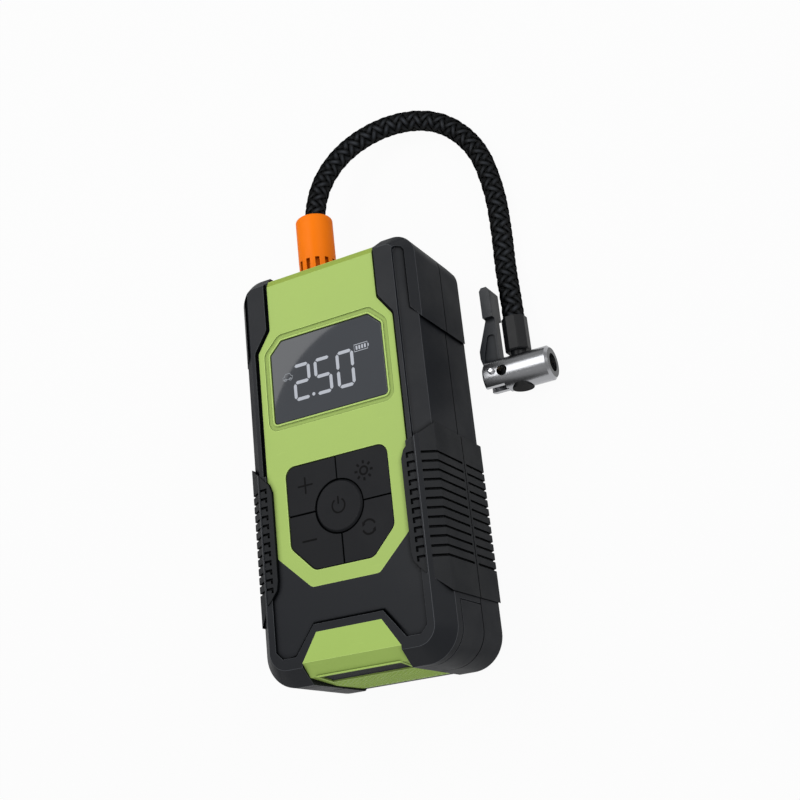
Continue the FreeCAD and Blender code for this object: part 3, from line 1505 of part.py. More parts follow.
def make_crank_gear():
    """Large gear with lightening holes, its axle and hub, and the offset pin that drives the rod."""
    rim = make_gear_rim("crank_rim", "gear_teeth", CRANK_PLACE, 0)
    web = rods("crank_web", "X", [CRANK_PLACE], "gear_hole_circle + gear_hole + 0.4", "gear_right - gear_web",
               "gear_right + 1")
    recess = cut("crank_recess", web, [rods("crank_hub_core", "X", [CRANK_PLACE], "hub_radius + 1.5",
                                            "gear_right - gear_web - 1", "gear_right + 2")])
    holes = []
    for k in range(int(size("gear_hole_count"))):
        angle = "(360 * %d / gear_hole_count + 30)" % k
        place = ("crank_y + gear_hole_circle * cos(%s)" % angle, "pump_height + gear_hole_circle * sin(%s)" % angle)
        holes.append(rods("crank_hole_%d" % k, "X", [place], "gear_hole", GEAR_LEFT + " - 1", "gear_right + 1"))
    wheel = cut("crank_wheel", rim, [recess] + holes)
    hub = rods("crank_hub", "X", [CRANK_PLACE], "hub_radius", "gear_right - gear_web - 0.1",
               "plate_left - end_play")
    axle = rods("crank_axle", "X", [CRANK_PLACE], "axle_radius", "gear_right - gear_web - 0.1", "axle_end")
    pin = rods("crank_pin", "X", [("crank_y - crank_radius", "pump_height")], "crank_pin_radius",
               GEAR_LEFT + " - crank_pin_reach", GEAR_LEFT + " + 1")
    return fuse("crank_gear", [wheel, hub, axle, pin])


def make_axle_clip():
    """Spring clip on the end of the axle."""
    seat = "plate_left + plate_thickness + end_play"
    ring = rods("clip_ring", "X", [CRANK_PLACE], "clip_radius", seat, seat + " + clip_thickness")
    core = rods("clip_core", "X", [CRANK_PLACE], "axle_radius", "plate_left", "axle_end + 1")
    gap = block("clip_gap", ("plate_left", "crank_y - 1", "pump_height"),
                ("axle_end + 2", "crank_y + 1", "pump_height + clip_radius + 1"))
    return cut("axle_clip", ring, [core, gap])


def make_crank_bush():
    """Bearing bush pressed into the frame plate."""
    return turned("crank_bush", [
        ("plate_left", "axle_radius + running_gap"),
        ("plate_left + plate_thickness", "axle_radius + running_gap"),
        ("plate_left + plate_thickness", "bush_radius"), ("plate_left", "bush_radius")], "X", CRANK_PLACE)


def make_motor_pinion():
    """Small gear pressed on the motor's shaft."""
    teeth = int(size("pinion_teeth"))
    pinion = make_gear_rim("pinion_rim", "pinion_teeth", MOTOR_PLACE, math.pi * (1 + 1 / teeth))
    bore = rods("pinion_bore", "X", [MOTOR_PLACE], "shaft_radius", GEAR_LEFT + " - 1", "gear_right + 1")
    return cut("drive_pinion", pinion, [bore])


def make_motor_shaft():
    return turned("motor_shaft", [
        (GEAR_LEFT, "0"), ("shaft_tail", "0"), ("shaft_tail", "shaft_radius - 0.2"),
        ("shaft_tail - 0.2", "shaft_radius"), (GEAR_LEFT, "shaft_radius")], "X", MOTOR_PLACE)


def make_motor():
    """Hollow motor can with its front boss and rear bearing cap, and a bore for the shaft."""
    front = "plate_left + plate_thickness"
    rear = front + " + motor_length"
    bore = "shaft_radius + running_gap"
    room_start = front + " + motor_room_start"
    room_end = rear + " - motor_room_end"
    can = turned("motor_form", [
        (front + " - motor_boss_length", bore), (front + " - motor_boss_length", "motor_boss"), (front, "motor_boss"),
        (front, "motor_radius - 0.8"), (front + " + 0.8", "motor_radius"),
        (room_end, "motor_radius"), (room_end + " + 0.4", "motor_radius - motor_wall / 2"),
        (rear + " - 1", "motor_radius - motor_wall / 2"), (rear, "motor_radius - 1.5 * motor_wall"),
        (rear, "motor_cap_radius"), (rear + " + motor_cap", "motor_cap_radius - 0.6"), (rear + " + motor_cap", bore),
        (room_end, bore), (room_end, "motor_radius - motor_wall"), (room_start, "motor_radius - motor_wall"),
        (room_start, bore)], "X", MOTOR_PLACE)
    terminals = [block("motor_terminal", (rear + " - 0.2", "motor_y + (%d) * terminal_spread - 0.3" % side,
                                          "pump_height - 1.5"),
                       (rear + " + motor_cap + 0.5", "motor_y + (%d) * terminal_spread + 0.3" % side,
                        "pump_height + 1.5"))
                 for side in (-1, 1)]
    return fuse("motor_can", [can] + terminals)


def make_motor_core():
    """Wound core on the shaft, with three winding slots."""
    low = "plate_left + plate_thickness + core_start"
    high = "plate_left + plate_thickness + motor_length - core_end"
    core = turned("core_form", [(low, "shaft_radius"), (high, "shaft_radius"), (high, "core_radius"),
                                (low, "core_radius")], "X", MOTOR_PLACE)
    slots = []
    count = int(size("core_slot_count"))
    for k in range(count):
        slot = block("core_slot_%d" % k, (low + " - 1", "-core_slot / 2", "core_radius - core_slot_depth"),
                     (high + " + 1", "core_slot / 2", "core_radius + 1"))
        turn = FreeCAD.Rotation(FreeCAD.Vector(1, 0, 0), 360 * k / count)
        holder = doc.addObject("Part::Compound", "core_slot_place_%d" % k)
        holder.Links = [slot]
        holder.Placement = FreeCAD.Placement(FreeCAD.Vector(), turn)
        holder.setExpression("Placement.Base.y", bind(MOTOR_PLACE[0]))
        holder.setExpression("Placement.Base.z", bind(MOTOR_PLACE[1]))
        slots.append(holder)
    return cut("motor_core", core, slots)


def make_magnets():
    """Two curved magnets on the inside of the can."""
    low = "plate_left + plate_thickness + core_start"
    high = "plate_left + plate_thickness + motor_length - core_end"
    ring = turned("magnet_ring", [
        (low, "core_radius + magnet_gap"), (high, "core_radius + magnet_gap"),
        (high, "motor_radius - motor_wall"), (low, "motor_radius - motor_wall")], "X", MOTOR_PLACE)
    split = block("magnet_split", (low + " - 1", "motor_y - motor_radius", "pump_height - magnet_split"),
                  (high + " + 1", "motor_y + motor_radius", "pump_height + magnet_split"))
    return cut("motor_magnets", ring, [split])


def make_gear_frame():
    """Bent frame: an upright plate for the motor and the axle, and a flange that carries the cylinder."""
    plate = prism("frame_plate", "YZ", [("plate_foot_y", "wall"), ("flange_y", "wall"),
                                        ("flange_y", "plate_top - plate_corner"),
                                        ("flange_y - plate_corner", "plate_top"),
                                        ("plate_foot_y + plate_corner", "plate_top"),
                                        ("plate_foot_y", "plate_top - plate_corner")],
                  "plate_left", "plate_left + plate_thickness")
    flange = prism("frame_flange", "XZ", [("plate_left + 1", "pump_height - flange_half"),
                                          ("plate_left + 1", "pump_height + flange_half"),
                                          ("flange_left + flange_corner", "pump_height + flange_half"),
                                          ("flange_left", "pump_height + flange_half - flange_corner"),
                                          ("flange_left", "pump_height - flange_half + flange_corner"),
                                          ("flange_left + flange_corner", "pump_height - flange_half")],
                   "flange_y - plate_thickness", "flange_y")
    solid = fuse("frame_solid", [plate, flange])
    bush_hole = rods("bush_hole", "X", [CRANK_PLACE], "bush_radius", "plate_left - 1",
                     "plate_left + plate_thickness + 1")
    boss_hole = rods("boss_hole", "X", [MOTOR_PLACE], "motor_boss + running_gap", "plate_left - 1",
                     "plate_left + plate_thickness + 1")
    skirt_hole = rods("skirt_hole", "Y", [PUMP_PLACE], "bore_radius", "flange_y - plate_thickness - 1", "flange_y + 1")
    return cut("gear_frame", solid, [bush_hole, boss_hole, skirt_hole])


def make_cylinder():
    """Finned cylinder barrel on the frame's flange."""
    fins = [("flange_y", "bore_radius"), (CYLINDER_TIP, "bore_radius"), (CYLINDER_TIP, "fin_radius")]
    for k in range(int(size("fin_count"))):
        high = CYLINDER_TIP + " - fin_pitch + fin_gap - %d * fin_pitch" % k
        low = high + " - fin_gap"
        fins += [(high, "fin_radius"), (high, "cylinder_radius"), (low, "cylinder_radius"), (low, "fin_radius")]
    fins += [("flange_y + 2 * fin_gap", "fin_radius"), ("flange_y + 2 * fin_gap", "cylinder_radius"),
             ("flange_y", "cylinder_radius")]
    return turned("cylinder_barrel", fins, "Y", PUMP_PLACE)


def make_cylinder_head():
    """Head with a finned plate, a domed chamber and a seat for the outlet valve."""
    seat = CYLINDER_TIP
    top = seat + " + head_plate"
    tip = top + " + head_dome"
    return turned("cylinder_head", [
        (seat, "valve_port"), (seat, "fin_radius"), (seat + " + fin_gap", "fin_radius"),
        (seat + " + fin_gap", "cylinder_radius"), (top + " - 1", "cylinder_radius"), (top + " - 1", "fin_radius"),
        (top, "fin_radius"), (top + " + 0.6", "head_dome_radius"), (tip + " - 1.5", "head_dome_radius"),
        (tip, "head_dome_radius - 2"), (tip, "outlet_radius"), (top + " + 1", "outlet_radius"),
        (top + " + 1", "valve_room"), (seat + " + head_floor", "valve_room"),
        (seat + " + head_floor", "valve_port")], "Y", PUMP_PLACE)


def make_valve():
    """Outlet valve disc and the stem that guides it, seated over the head's port."""
    seat = CYLINDER_TIP + " + head_floor"
    return turned("outlet_valve", [
        (seat, "0"), (seat + " + valve_height", "0"), (seat + " + valve_height", "valve_radius / 2"),
        (seat + " + 0.4 * valve_height", "valve_radius"), (seat, "valve_radius")], "Y", PUMP_PLACE)


def make_outlet():
    """Hose fitting: threaded end in the head, hexagon, and the tail inside the hose collar."""
    top = CYLINDER_TIP + " + head_plate + head_dome"
    stem = turned("outlet_stem", [
        (top + " - outlet_sink", "outlet_bore"), ("outlet_tip", "outlet_bore"), ("outlet_tip", "outlet_radius - 0.4"),
        ("outlet_tip - 0.8", "outlet_radius"), (top + " - outlet_sink", "outlet_radius")], "Y", PUMP_PLACE)
    corners = [("pump_x + outlet_hex * cos(%d)" % (60 * k), "pump_height + outlet_hex * sin(%d)" % (60 * k))
               for k in range(6)]
    nut = prism("outlet_hexagon", "XZ", corners, top, top + " + outlet_hex_length")
    core = rods("outlet_core", "Y", [PUMP_PLACE], "outlet_radius - 0.2", top + " - 1",
                top + " + outlet_hex_length + 1")
    return fuse("outlet_fitting", [stem, cut("outlet_nut", nut, [core])])


def make_piston_rod():
    """Connecting rod with its open eye, ribbed shank and round piston."""
    left = "pump_x - rod_thickness / 2"
    right = "pump_x + rod_thickness / 2"
    eye = rods("rod_eye_form", "X", [("crank_y - crank_radius", "pump_height")], "rod_eye", left, right)
    bore = rods("rod_eye_bore", "X", [("crank_y - crank_radius", "pump_height")],
                "crank_pin_radius + running_gap", left + " - 1", right + " + 1")
    pin = "crank_y - crank_radius"
    shank = prism("rod_shank", "YZ", [
        (pin + " + rod_half", "pump_height - rod_half"), (CROWN + " + 0.5", "pump_height - 1.5 * rod_half"),
        (CROWN + " + 0.5", "pump_height + 1.5 * rod_half"), (pin + " + rod_half", "pump_height + rod_half")],
        left, right)
    pocket = [(pin + " + rod_eye + 2.4", "pump_height - rod_half + rod_web"),
              (CROWN + " - 4", "pump_height - rod_half + 0.6"), (CROWN + " - 4", "pump_height + rod_half - 0.6"),
              (pin + " + rod_eye + 2.4", "pump_height + rod_half - rod_web")]
    pockets = [prism("rod_pocket_left", "YZ", pocket, left + " - 1", left + " + rod_web"),
               prism("rod_pocket_right", "YZ", pocket, right + " - rod_web", right + " + 1")]
    crown = turned("rod_crown", [(CROWN, "0"), (CROWN + " + piston_depth", "0"),
                                 (CROWN + " + piston_depth", "bore_radius - piston_gap - 0.4"),
                                 (CROWN + " + 0.6", "bore_radius - piston_gap - 0.4"),
                                 (CROWN, "bore_radius - piston_gap - 1.2")], "Y", PUMP_PLACE)
    return cut("piston_rod", fuse("rod_form", [eye, shank, crown]), [bore] + pockets)


def make_piston_cup():
    """Sealing cup and its retaining disc on the crown of the piston."""
    base = CROWN + " + piston_depth"
    return turned("piston_cup", [
        (base, "0"), (base, "bore_radius - piston_gap"), (base + " + cup_depth", "bore_radius - running_gap"),
        (base + " + cup_depth", "bore_radius - 1"), (base + " + 0.8", "bore_radius - 1.2"),
        (base + " + 0.8", "6"), (base + " + 1.6", "5.6"), (base + " + 1.6", "0")], "Y", PUMP_PLACE)


# Hose collar, hose and chuck

def make_collar():
    """Strain relief sleeve with an inside flange, slots round its foot and the hose let into its tip."""
    seat = "collar_tip - hose_seat"
    passage = "outlet_bore + 0.6"
    collar = turned("hose_collar", [
        (CAVITY_TOP + " - collar_flange", "outlet_radius + fit_gap"),
        (CAVITY_TOP + " - collar_flange", "collar_flange_radius"), (CAVITY_TOP, "collar_flange_radius"),
        (CAVITY_TOP, "collar_radius"), ("collar_tip", "collar_radius"), ("collar_tip", "hose_radius + collar_flare"),
        ("collar_tip - collar_flare_length", "hose_radius + fit_gap"), (seat, "hose_radius + fit_gap"),
        (seat, passage), ("outlet_tip + 0.3", passage), ("outlet_tip + 0.3", "outlet_radius + fit_gap")],
        "Y", PUMP_PLACE)
    tip = size("collar_tip")
    reach = size("collar_radius")
    round_edges(collar, "collar_rim", lambda edge: edge.BoundBox.XMin > tip - 0.01
                and edge.BoundBox.YLength > 1.9 * reach)
    slot = start_sketch(collar, "collar_slot", "XY", "collar_radius - collar_slot_depth")
    draw_outline(slot, rectangle("collar_slot_foot", "collar_slot_tip", "-collar_slot_width / 2",
                                 "collar_slot_width / 2"))
    before = volume_of(collar)
    pocket = collar.newObject("PartDesign::Pocket", "Slot")
    pocket.Profile = slot
    pocket.setExpression("Length", bind("collar_slot_depth + 2"))
    pocket.Reversed = True
    if volume_of(collar) >= before:
        raise RuntimeError("collar slot removed nothing")
    around = collar.newObject("PartDesign::PolarPattern", "slots")
    around.Originals = [pocket]
    around.Axis = (origin_feature(collar, "X_Axis"), [""])
    around.Angle = 360
    around.setExpression("Occurrences", bind("collar_slots"))
    collar.Tip = around
    return collar


# Points that the hose is laid through, from inside the collar round to inside the ferrule
HOSE_POINTS = [
    (-16.5, 112.0, 25.5),
    (-16.5, 131.2, 25.5),
    (-6.1, 156.9, 17.1),
    (16.9, 169.3, 10.1),
    (42.2, 164.8, 6.5),
    (59.5, 145.5, 4.6),
    (65.4, 120.1, 4.7),
    (66.0, 98.1, 4.9),
    (65.5, 80.3, 4.9),
    (67.0, 63.3, 7.5),
    (67.0, 46.0, 7.5),
]


def hose_route(points):
    """Straight runs joined by arcs that touch them, as one wire."""
    points = [FreeCAD.Vector(*point) for point in points]
    edges = []
    here = points[0]
    for before, corner, after in zip(points, points[1:], points[2:]):
        arriving = (corner - before).normalize()
        leaving = (after - corner).normalize()
        turn = arriving.getAngle(leaving)
        trim = 0.45 * min((corner - before).Length, (after - corner).Length)
        print("bend radius %.1f" % (trim / math.tan(turn / 2)))
        start = corner - arriving * trim
        end = corner + leaving * trim
        inward = (leaving - arriving).normalize()
        centre = corner + inward * (trim / math.sin(turn / 2))
        middle = centre - inward * (trim / math.tan(turn / 2))
        edges.append(Part.LineSegment(here, start).toShape())
        edges.append(Part.Arc(start, middle, end).toShape())
        here = end
    edges.append(Part.LineSegment(here, points[-1]).toShape())
    return Part.Wire(edges)


def make_hose():
    """Round hose along its route, with its volume compared with section times length."""
    route = hose_route(HOSE_POINTS)
    first = route.Edges[0]
    circle = Part.Circle(first.valueAt(first.FirstParameter), first.tangentAt(first.FirstParameter),
                         size("hose_radius"))
    hose = doc.addObject("Part::Feature", "air_hose")
    hose.Shape = route.makePipeShell([Part.Wire(circle.toShape())], True, False)
    expected = math.pi * size("hose_radius") ** 2 * route.Length
    if abs(hose.Shape.Volume / expected - 1) > 0.01:
        raise RuntimeError("air_hose: volume differs from section times length")
    print("hose length %.1f" % route.Length)
    return hose


CHUCK_TAIL = "chuck_x - barrel_length / 2"
CHUCK_MOUTH = "chuck_x + barrel_length / 2"
CHUCK_HEIGHT = "barrel_radius"
NECK_X = CHUCK_TAIL + " + neck_hole_offset"
LEVER_X = CHUCK_TAIL + " + lever_pin_offset"
LEVER_Y = "chuck_y + lever_pin_lift"


def make_ferrule():
    """Crimped ferrule with eight flats round the hose's end, and the neck that enters the chuck."""
    step = 45
    circle = "ferrule_flat / cos(%g)" % (step / 2)
    corners = [("%s + %s * cos(%g)" % (NECK_X, circle, step * k + step / 2),
                "%s + %s * sin(%g)" % (CHUCK_HEIGHT, circle, step * k + step / 2)) for k in range(360 // step)]
    flats = prism("ferrule_flats", "XZ", corners, "ferrule_foot", "ferrule_top")
    lower = size("ferrule_foot")
    bevel_edges(flats, "0.5", lambda edge: edge.BoundBox.YMax < lower + 0.01)
    neck = rods("ferrule_neck", "Y", [(NECK_X, CHUCK_HEIGHT)], "neck_radius", "ferrule_neck_foot", "ferrule_foot + 1")
    socket = rods("ferrule_socket", "Y", [(NECK_X, CHUCK_HEIGHT)], "hose_radius + running_gap",
                  "ferrule_top - ferrule_socket", "ferrule_top + 1")
    passage = rods("ferrule_passage", "Y", [(NECK_X, CHUCK_HEIGHT)], "air_drilling", "ferrule_neck_foot - 1",
                   "ferrule_top")
    return cut("hose_ferrule", fuse("ferrule_form", [flats, neck]), [socket, passage])


def make_chuck_barrel():
    """Turned chuck barrel: bore and mouth along X, a slot for the lever, and the holes across it."""
    place = ("chuck_y", CHUCK_HEIGHT)
    seat = CHUCK_MOUTH + " - mouth_depth - seal_length"
    form = turned("barrel_form", [
        (CHUCK_TAIL, "0"), (CHUCK_TAIL, "barrel_radius - barrel_tail_edge"),
        (CHUCK_TAIL + " + barrel_tail_edge", "barrel_radius"),
        (CHUCK_MOUTH + " - barrel_rim", "barrel_radius"), (CHUCK_MOUTH, "barrel_radius - barrel_rim"),
        (CHUCK_MOUTH, "mouth_radius"), (CHUCK_MOUTH + " - mouth_depth", "mouth_radius"),
        (CHUCK_MOUTH + " - mouth_depth", "seal_radius"), (seat, "seal_radius"),
        (seat, "plunger_radius + running_gap"),
        (CHUCK_TAIL + " + tail_slot_length - 1", "plunger_radius + running_gap"),
        (CHUCK_TAIL + " + tail_slot_length - 1", "0")], "X", place)
    slot = block("tail_slot_form", (CHUCK_TAIL + " - 1", "chuck_y - barrel_radius - 1",
                                    CHUCK_HEIGHT + " - tail_slot / 2"),
                 (CHUCK_TAIL + " + tail_slot_length", "chuck_y + barrel_radius + 1", CHUCK_HEIGHT + " + tail_slot / 2"))
    pin_hole = rods("pin_hole", "Z", [(LEVER_X, LEVER_Y)], "lever_pin_radius", "-1", "2 * barrel_radius + 1")
    cheek_hole = rods("cheek_hole", "Z", [(CHUCK_TAIL + " + cheek_hole_offset", "chuck_y")], "cheek_hole_radius",
                      "-1", "2 * barrel_radius + 1")
    neck_hole = rods("neck_hole", "Y", [(NECK_X, CHUCK_HEIGHT)], "neck_radius + running_gap", "ferrule_neck_foot",
                     "chuck_y + barrel_radius + 1")
    air_hole = rods("air_hole", "Y", [(NECK_X, CHUCK_HEIGHT)], "air_drilling", "chuck_y",
                    "ferrule_neck_foot + 1")
    plug_hole = rods("plug_hole", "Y", [(NECK_X, CHUCK_HEIGHT)], "plug_radius + running_gap",
                     "chuck_y - barrel_radius - 1", "chuck_y - barrel_radius + plug_depth")
    flat = block("tail_flat", (CHUCK_TAIL + " - 1", "chuck_y - barrel_radius - 1", "-1"),
                 (CHUCK_TAIL + " + tail_slot_length - 0.6", "chuck_y - barrel_radius + tail_cut",
                  "2 * barrel_radius + 1"))
    return cut("chuck_barrel", form, [slot, pin_hole, cheek_hole, neck_hole, air_hole, plug_hole, flat])


def make_chuck_seal():
    """Rubber ring that grips the valve, at the bottom of the chuck's mouth."""
    low = CHUCK_MOUTH + " - mouth_depth - seal_length"
    high = CHUCK_MOUTH + " - mouth_depth"
    return turned("chuck_seal", [(low, "seal_bore + 0.3"), (high + " - 0.6", "seal_bore"), (high, "seal_bore + 0.5"),
                                 (high, "seal_radius"), (low, "seal_radius")], "X", ("chuck_y", CHUCK_HEIGHT))


def make_chuck_plug():
    """Round plug that closes the drilling opposite the hose."""
    return rods("chuck_plug", "Y", [(NECK_X, CHUCK_HEIGHT)], "plug_radius",
                "chuck_y - barrel_radius - plug_proud",
                "chuck_y - barrel_radius + plug_depth")


def make_plunger():
    """Rod pushed by the lever, with the thin tip that opens the valve."""
    back = CHUCK_TAIL + " + tail_slot_length + 0.2"
    shoulder = CHUCK_MOUTH + " - mouth_depth - seal_length - plunger_travel - 0.1"
    tip = CHUCK_MOUTH + " - mouth_depth - plunger_travel - 0.1"
    return turned("chuck_plunger", [
        (back, "0"), (tip, "0"), (tip, "plunger_tip - 0.3"), (tip + " - 0.3", "plunger_tip"), (shoulder, "plunger_tip"),
        (shoulder, "plunger_radius"), (back + " + 0.8", "plunger_radius"), (back, "plunger_radius - 0.8")],
        "X", ("chuck_y", CHUCK_HEIGHT))


def make_lever():
    """Thumb lever: a flat arm from the pin up to a ridged pad, lying in the chuck's slot."""
    low = CHUCK_HEIGHT + " - lever_thickness / 2"
    high = CHUCK_HEIGHT + " + lever_thickness / 2"
    x, y = LEVER_X, LEVER_Y
    arm = prism("lever_arm", "XY", [
        (x + " - lever_hub", y), (x + " + lever_left_foot", y + " + lever_left_foot_y"),
        (x + " + lever_left_foot", y + " + lever_left_knee_y"), (x + " + lever_waist_left", y + " + lever_waist_y"),
        (x + " + pad_left", y + " + pad_base + 1"), (x + " + pad_right", y + " + pad_base + 1"),
        (x + " + lever_right", y + " + lever_left_knee_y"), (x + " + lever_right", y)], low, high)
    hub = rods("lever_hub_form", "Z", [(x, y)], "lever_hub", low, high)
    pad = prism("lever_pad", "XY", [
        (x + " + pad_left", y + " + pad_base"), (x + " + pad_left", y + " + pad_tip - pad_tip_slant"),
        (x + " + pad_left + 1", y + " + pad_tip"), (x + " + pad_right - 1", y + " + pad_tip"),
        (x + " + pad_right", y + " + pad_tip - pad_tip_slant"), (x + " + pad_right", y + " + pad_base")],
        CHUCK_HEIGHT + " - pad_height / 2", CHUCK_HEIGHT + " + pad_height / 2")
    hole = rods("lever_bore", "Z", [(x, y)], "lever_pin_radius + running_gap", low + " - 1", high + " + 1")
    arches = []
    for floor, face in ((high + " - arch_depth", high + " + 1"), (low + " - 1", low + " + arch_depth")):
        arch = prism("lever_arch", "XY", [
            (x + " + arch_left", y + " + arch_foot"), (x + " + arch_left", y + " + arch_knee"),
            (x + " + arch_top_left", y + " + arch_top"), (x + " + arch_right", y + " + arch_top"),
            (x + " + arch_right", y + " + arch_foot")], floor, face)
        crown = size(y + " + arch_top") - 0.1
        round_edges(arch, "arch_round", lambda edge: is_upright(edge) and edge.CenterOfMass.y > crown)
        arches.append(arch)
    return cut("chuck_lever", fuse("lever_form", [arm, hub, pad]), [hole] + arches)


def make_lever_pin():
    return turned("lever_pin", [
        ("lever_pin_foot", "0"), ("lever_pin_foot", "lever_pin_radius"),
        ("lever_pin_head - lever_pin_edge", "lever_pin_radius"),
        ("lever_pin_head", "lever_pin_radius - lever_pin_edge"), ("lever_pin_head", "0")], "Z", (LEVER_X, LEVER_Y))


# Every piece of the inflator, by node name

PIECES = [
    make_front_shell(), make_back_shell(), make_front_panel(), make_bottom_trim(), make_display_lens(), make_lcd(),
    *front_grips, *rear_grips,
    make_key("plus_key", False, True), make_key("lamp_key", True, True),
    make_key("minus_key", False, False), make_key("mode_key", True, False), make_power_key(),
    make_key_mat(), make_switches(), make_port_cover(), make_socket(),
    make_board("main_board", "board_half", "board_foot", "board_head", "board_top", BOARD_POST_PLACES),
    make_board("charge_board", "charge_board_half", CAVITY_FOOT + " + 1", "charge_board_head",
               "charge_board_top", CHARGE_POST_PLACES),
    make_board_parts(), make_board_screws(), make_cells(), make_cell_tabs(),
    make_lamp_lens(), make_lamp_board(), make_lamp_leds(), make_housing_screws(),
    make_gear_frame(), make_motor(), make_magnets(), make_motor_core(), make_motor_shaft(), make_motor_pinion(),
    make_crank_gear(), make_crank_bush(), make_axle_clip(), make_cylinder(), make_cylinder_head(), make_valve(), make_outlet(), make_piston_rod(),
    make_piston_cup(), make_collar(), make_hose(), make_ferrule(), make_chuck_barrel(), make_chuck_seal(),
    make_chuck_plug(), make_plunger(), make_lever(), make_lever_pin(),
]

doc.recompute()
for item in doc.Objects:
    if "Invalid" in item.State or "Error" in item.State:
        raise RuntimeError(item.Name + ": did not compute")
for piece in PIECES:
    shape = piece.Shape
    if shape.isNull() or not shape.isValid() or not shape.Solids:
        raise RuntimeError(piece.Name + ": shape is empty or not valid")
for piece in PIECES:
    piece.Label = piece.Name
    piece.Shape.exportStep("parts/%s.step" % piece.Name)
print("%d pieces written" % len(PIECES))
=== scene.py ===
# %% [markdown]
# A hand-held tyre inflator lies on its back with its short hose looped round to a lever chuck.
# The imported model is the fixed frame: every solid is already in its place, in metres, with the
# back of the housing on the floor and the hose end of the housing towards +Y. This file gives
# that frame its looks: softened edges, moulded plastics and rubber, a woven hose and a lit display.

# %% Load the frame
import bmesh
import bpy
import json
import math
from mathutils import Matrix, Vector

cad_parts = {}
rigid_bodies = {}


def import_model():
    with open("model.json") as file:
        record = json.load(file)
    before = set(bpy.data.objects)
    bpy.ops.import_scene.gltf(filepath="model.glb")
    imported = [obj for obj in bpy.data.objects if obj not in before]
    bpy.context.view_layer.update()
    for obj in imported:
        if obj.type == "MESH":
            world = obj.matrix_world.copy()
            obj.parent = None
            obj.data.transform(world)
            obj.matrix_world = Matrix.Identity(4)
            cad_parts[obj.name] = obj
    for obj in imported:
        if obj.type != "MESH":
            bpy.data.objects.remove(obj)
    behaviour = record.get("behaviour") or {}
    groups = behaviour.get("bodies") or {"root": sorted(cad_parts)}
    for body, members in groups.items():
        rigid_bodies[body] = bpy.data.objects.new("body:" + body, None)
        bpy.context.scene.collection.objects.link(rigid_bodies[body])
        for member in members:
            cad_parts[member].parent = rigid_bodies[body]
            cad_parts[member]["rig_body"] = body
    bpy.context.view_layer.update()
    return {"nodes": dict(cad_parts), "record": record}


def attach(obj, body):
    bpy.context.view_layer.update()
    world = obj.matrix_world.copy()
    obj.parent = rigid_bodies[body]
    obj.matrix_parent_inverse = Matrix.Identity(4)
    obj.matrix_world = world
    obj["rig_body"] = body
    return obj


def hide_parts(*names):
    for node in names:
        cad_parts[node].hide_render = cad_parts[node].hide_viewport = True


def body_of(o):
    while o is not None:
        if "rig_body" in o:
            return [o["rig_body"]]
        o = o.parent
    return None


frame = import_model()
nodes = frame["nodes"]
slot_of = {part["node"]: part["material_slot"] for part in frame["record"]["subparts"]}

MM = 0.001  # a millimetre, in the scene's metres


def add_object(name, data):
    """New object in the scene's own collection."""
    item = bpy.data.objects.new(name, data)
    bpy.context.scene.collection.objects.link(item)
    return item


# %% [markdown]
# The camera comes first, because everything is judged through it. The photograph looks down at
# the inflator from its lower right, at about 58 degrees above the floor. The camera could be
# aimed with a Track To constraint, but its exact position and axes are known from lines on the
# housing, so the matrix is written down directly: the columns are right, up and backwards.

# %% Camera
camera_data = bpy.data.cameras.new("photo_camera")
camera_data.sensor_width = 36.0
camera_data.lens = 57.45
camera = add_object("photo_camera", camera_data)
right = Vector((0.87570802, -0.10226075, -0.47188791))
up = Vector((0.24363086, 0.93736299, 0.24898721))
back = Vector((0.41686864, -0.33300656, 0.84577016))
axes = Matrix((right, up, back)).transposed().to_4x4()
camera.matrix_world = Matrix.Translation(Vector((243.75, -154.44, 484.42)) * MM) @ axes
bpy.context.scene.camera = camera
print("camera stands", round(camera.location.length, 3), "m from the frame's origin")

# %% [markdown]
# Every finish is a node material, and every tree in this file is built by the same few helpers.
# Nodes could be made and linked one call at a time. It reads better when a node is added together
# with what feeds its inputs: a plain value, another node's output, or a node, which then gives
# its first output. Colours are written as the eight-bit values a maker would quote and turned
# into the linear ones that a shader wants.

# %% Node helpers
WHITE = (1, 1, 1, 1)


def linear(code):
    """A hex colour as linear red, green, blue and alpha."""
    values = [int(code[k:k + 2], 16) / 255 for k in (0, 2, 4)]
    return [v / 12.92 if v <= 0.04045 else ((v + 0.055) / 1.055) ** 2.4 for v in values] + [1.0]


def feed(tree, node, inputs):
    """Set a node's inputs to plain values, or link them to an output or to the first one of a node."""
    for key, value in inputs.items():
        if isinstance(value, bpy.types.Node):
            value = value.outputs[0]
        if isinstance(value, bpy.types.NodeSocket):
            tree.links.new(value, node.inputs[key])
        else:
            node.inputs[key].default_value = value


def add_node(tree, kind, inputs=None, **settings):
    """New node with its settings made and its inputs fed."""
    node = tree.nodes.new(kind)
    for key, value in settings.items():
        setattr(node, key, value)
    feed(tree, node, inputs or {})
    return node


def math_node(tree, operation, *values, **settings):
    """Math on sockets or plain numbers."""
    node = add_node(tree, "ShaderNodeMath", dict(enumerate(values)), operation=operation, **settings)
    return node.outputs[0]


def vector_node(tree, operation, first, second):
    """Vector Math, where a scale has its factor in an input of its own."""
    other = "Scale" if operation == "SCALE" else 1
    node = add_node(tree, "ShaderNodeVectorMath", {0: first, other: second}, operation=operation)
    return node.outputs["Vector"]


def span(tree, source, low, high, start, stop):
    """Map Range from low..high to start..stop, cut off at both ends."""
    node = add_node(tree, "ShaderNodeMapRange", {
        "Value": source, "From Min": low, "From Max": high, "To Min": start, "To Max": stop})
    return node.outputs["Result"]


def mixed(tree, factor, first, second):
    """Mix of two colours, by the numbers of a Mix node's colour sockets."""
    node = add_node(tree, "ShaderNodeMix", {"Factor": factor, 6: first, 7: second}, data_type="RGBA")
    return node.outputs[2]


print("the eight-bit grey 808080 is", round(linear("808080")[0], 3), "in linear light")

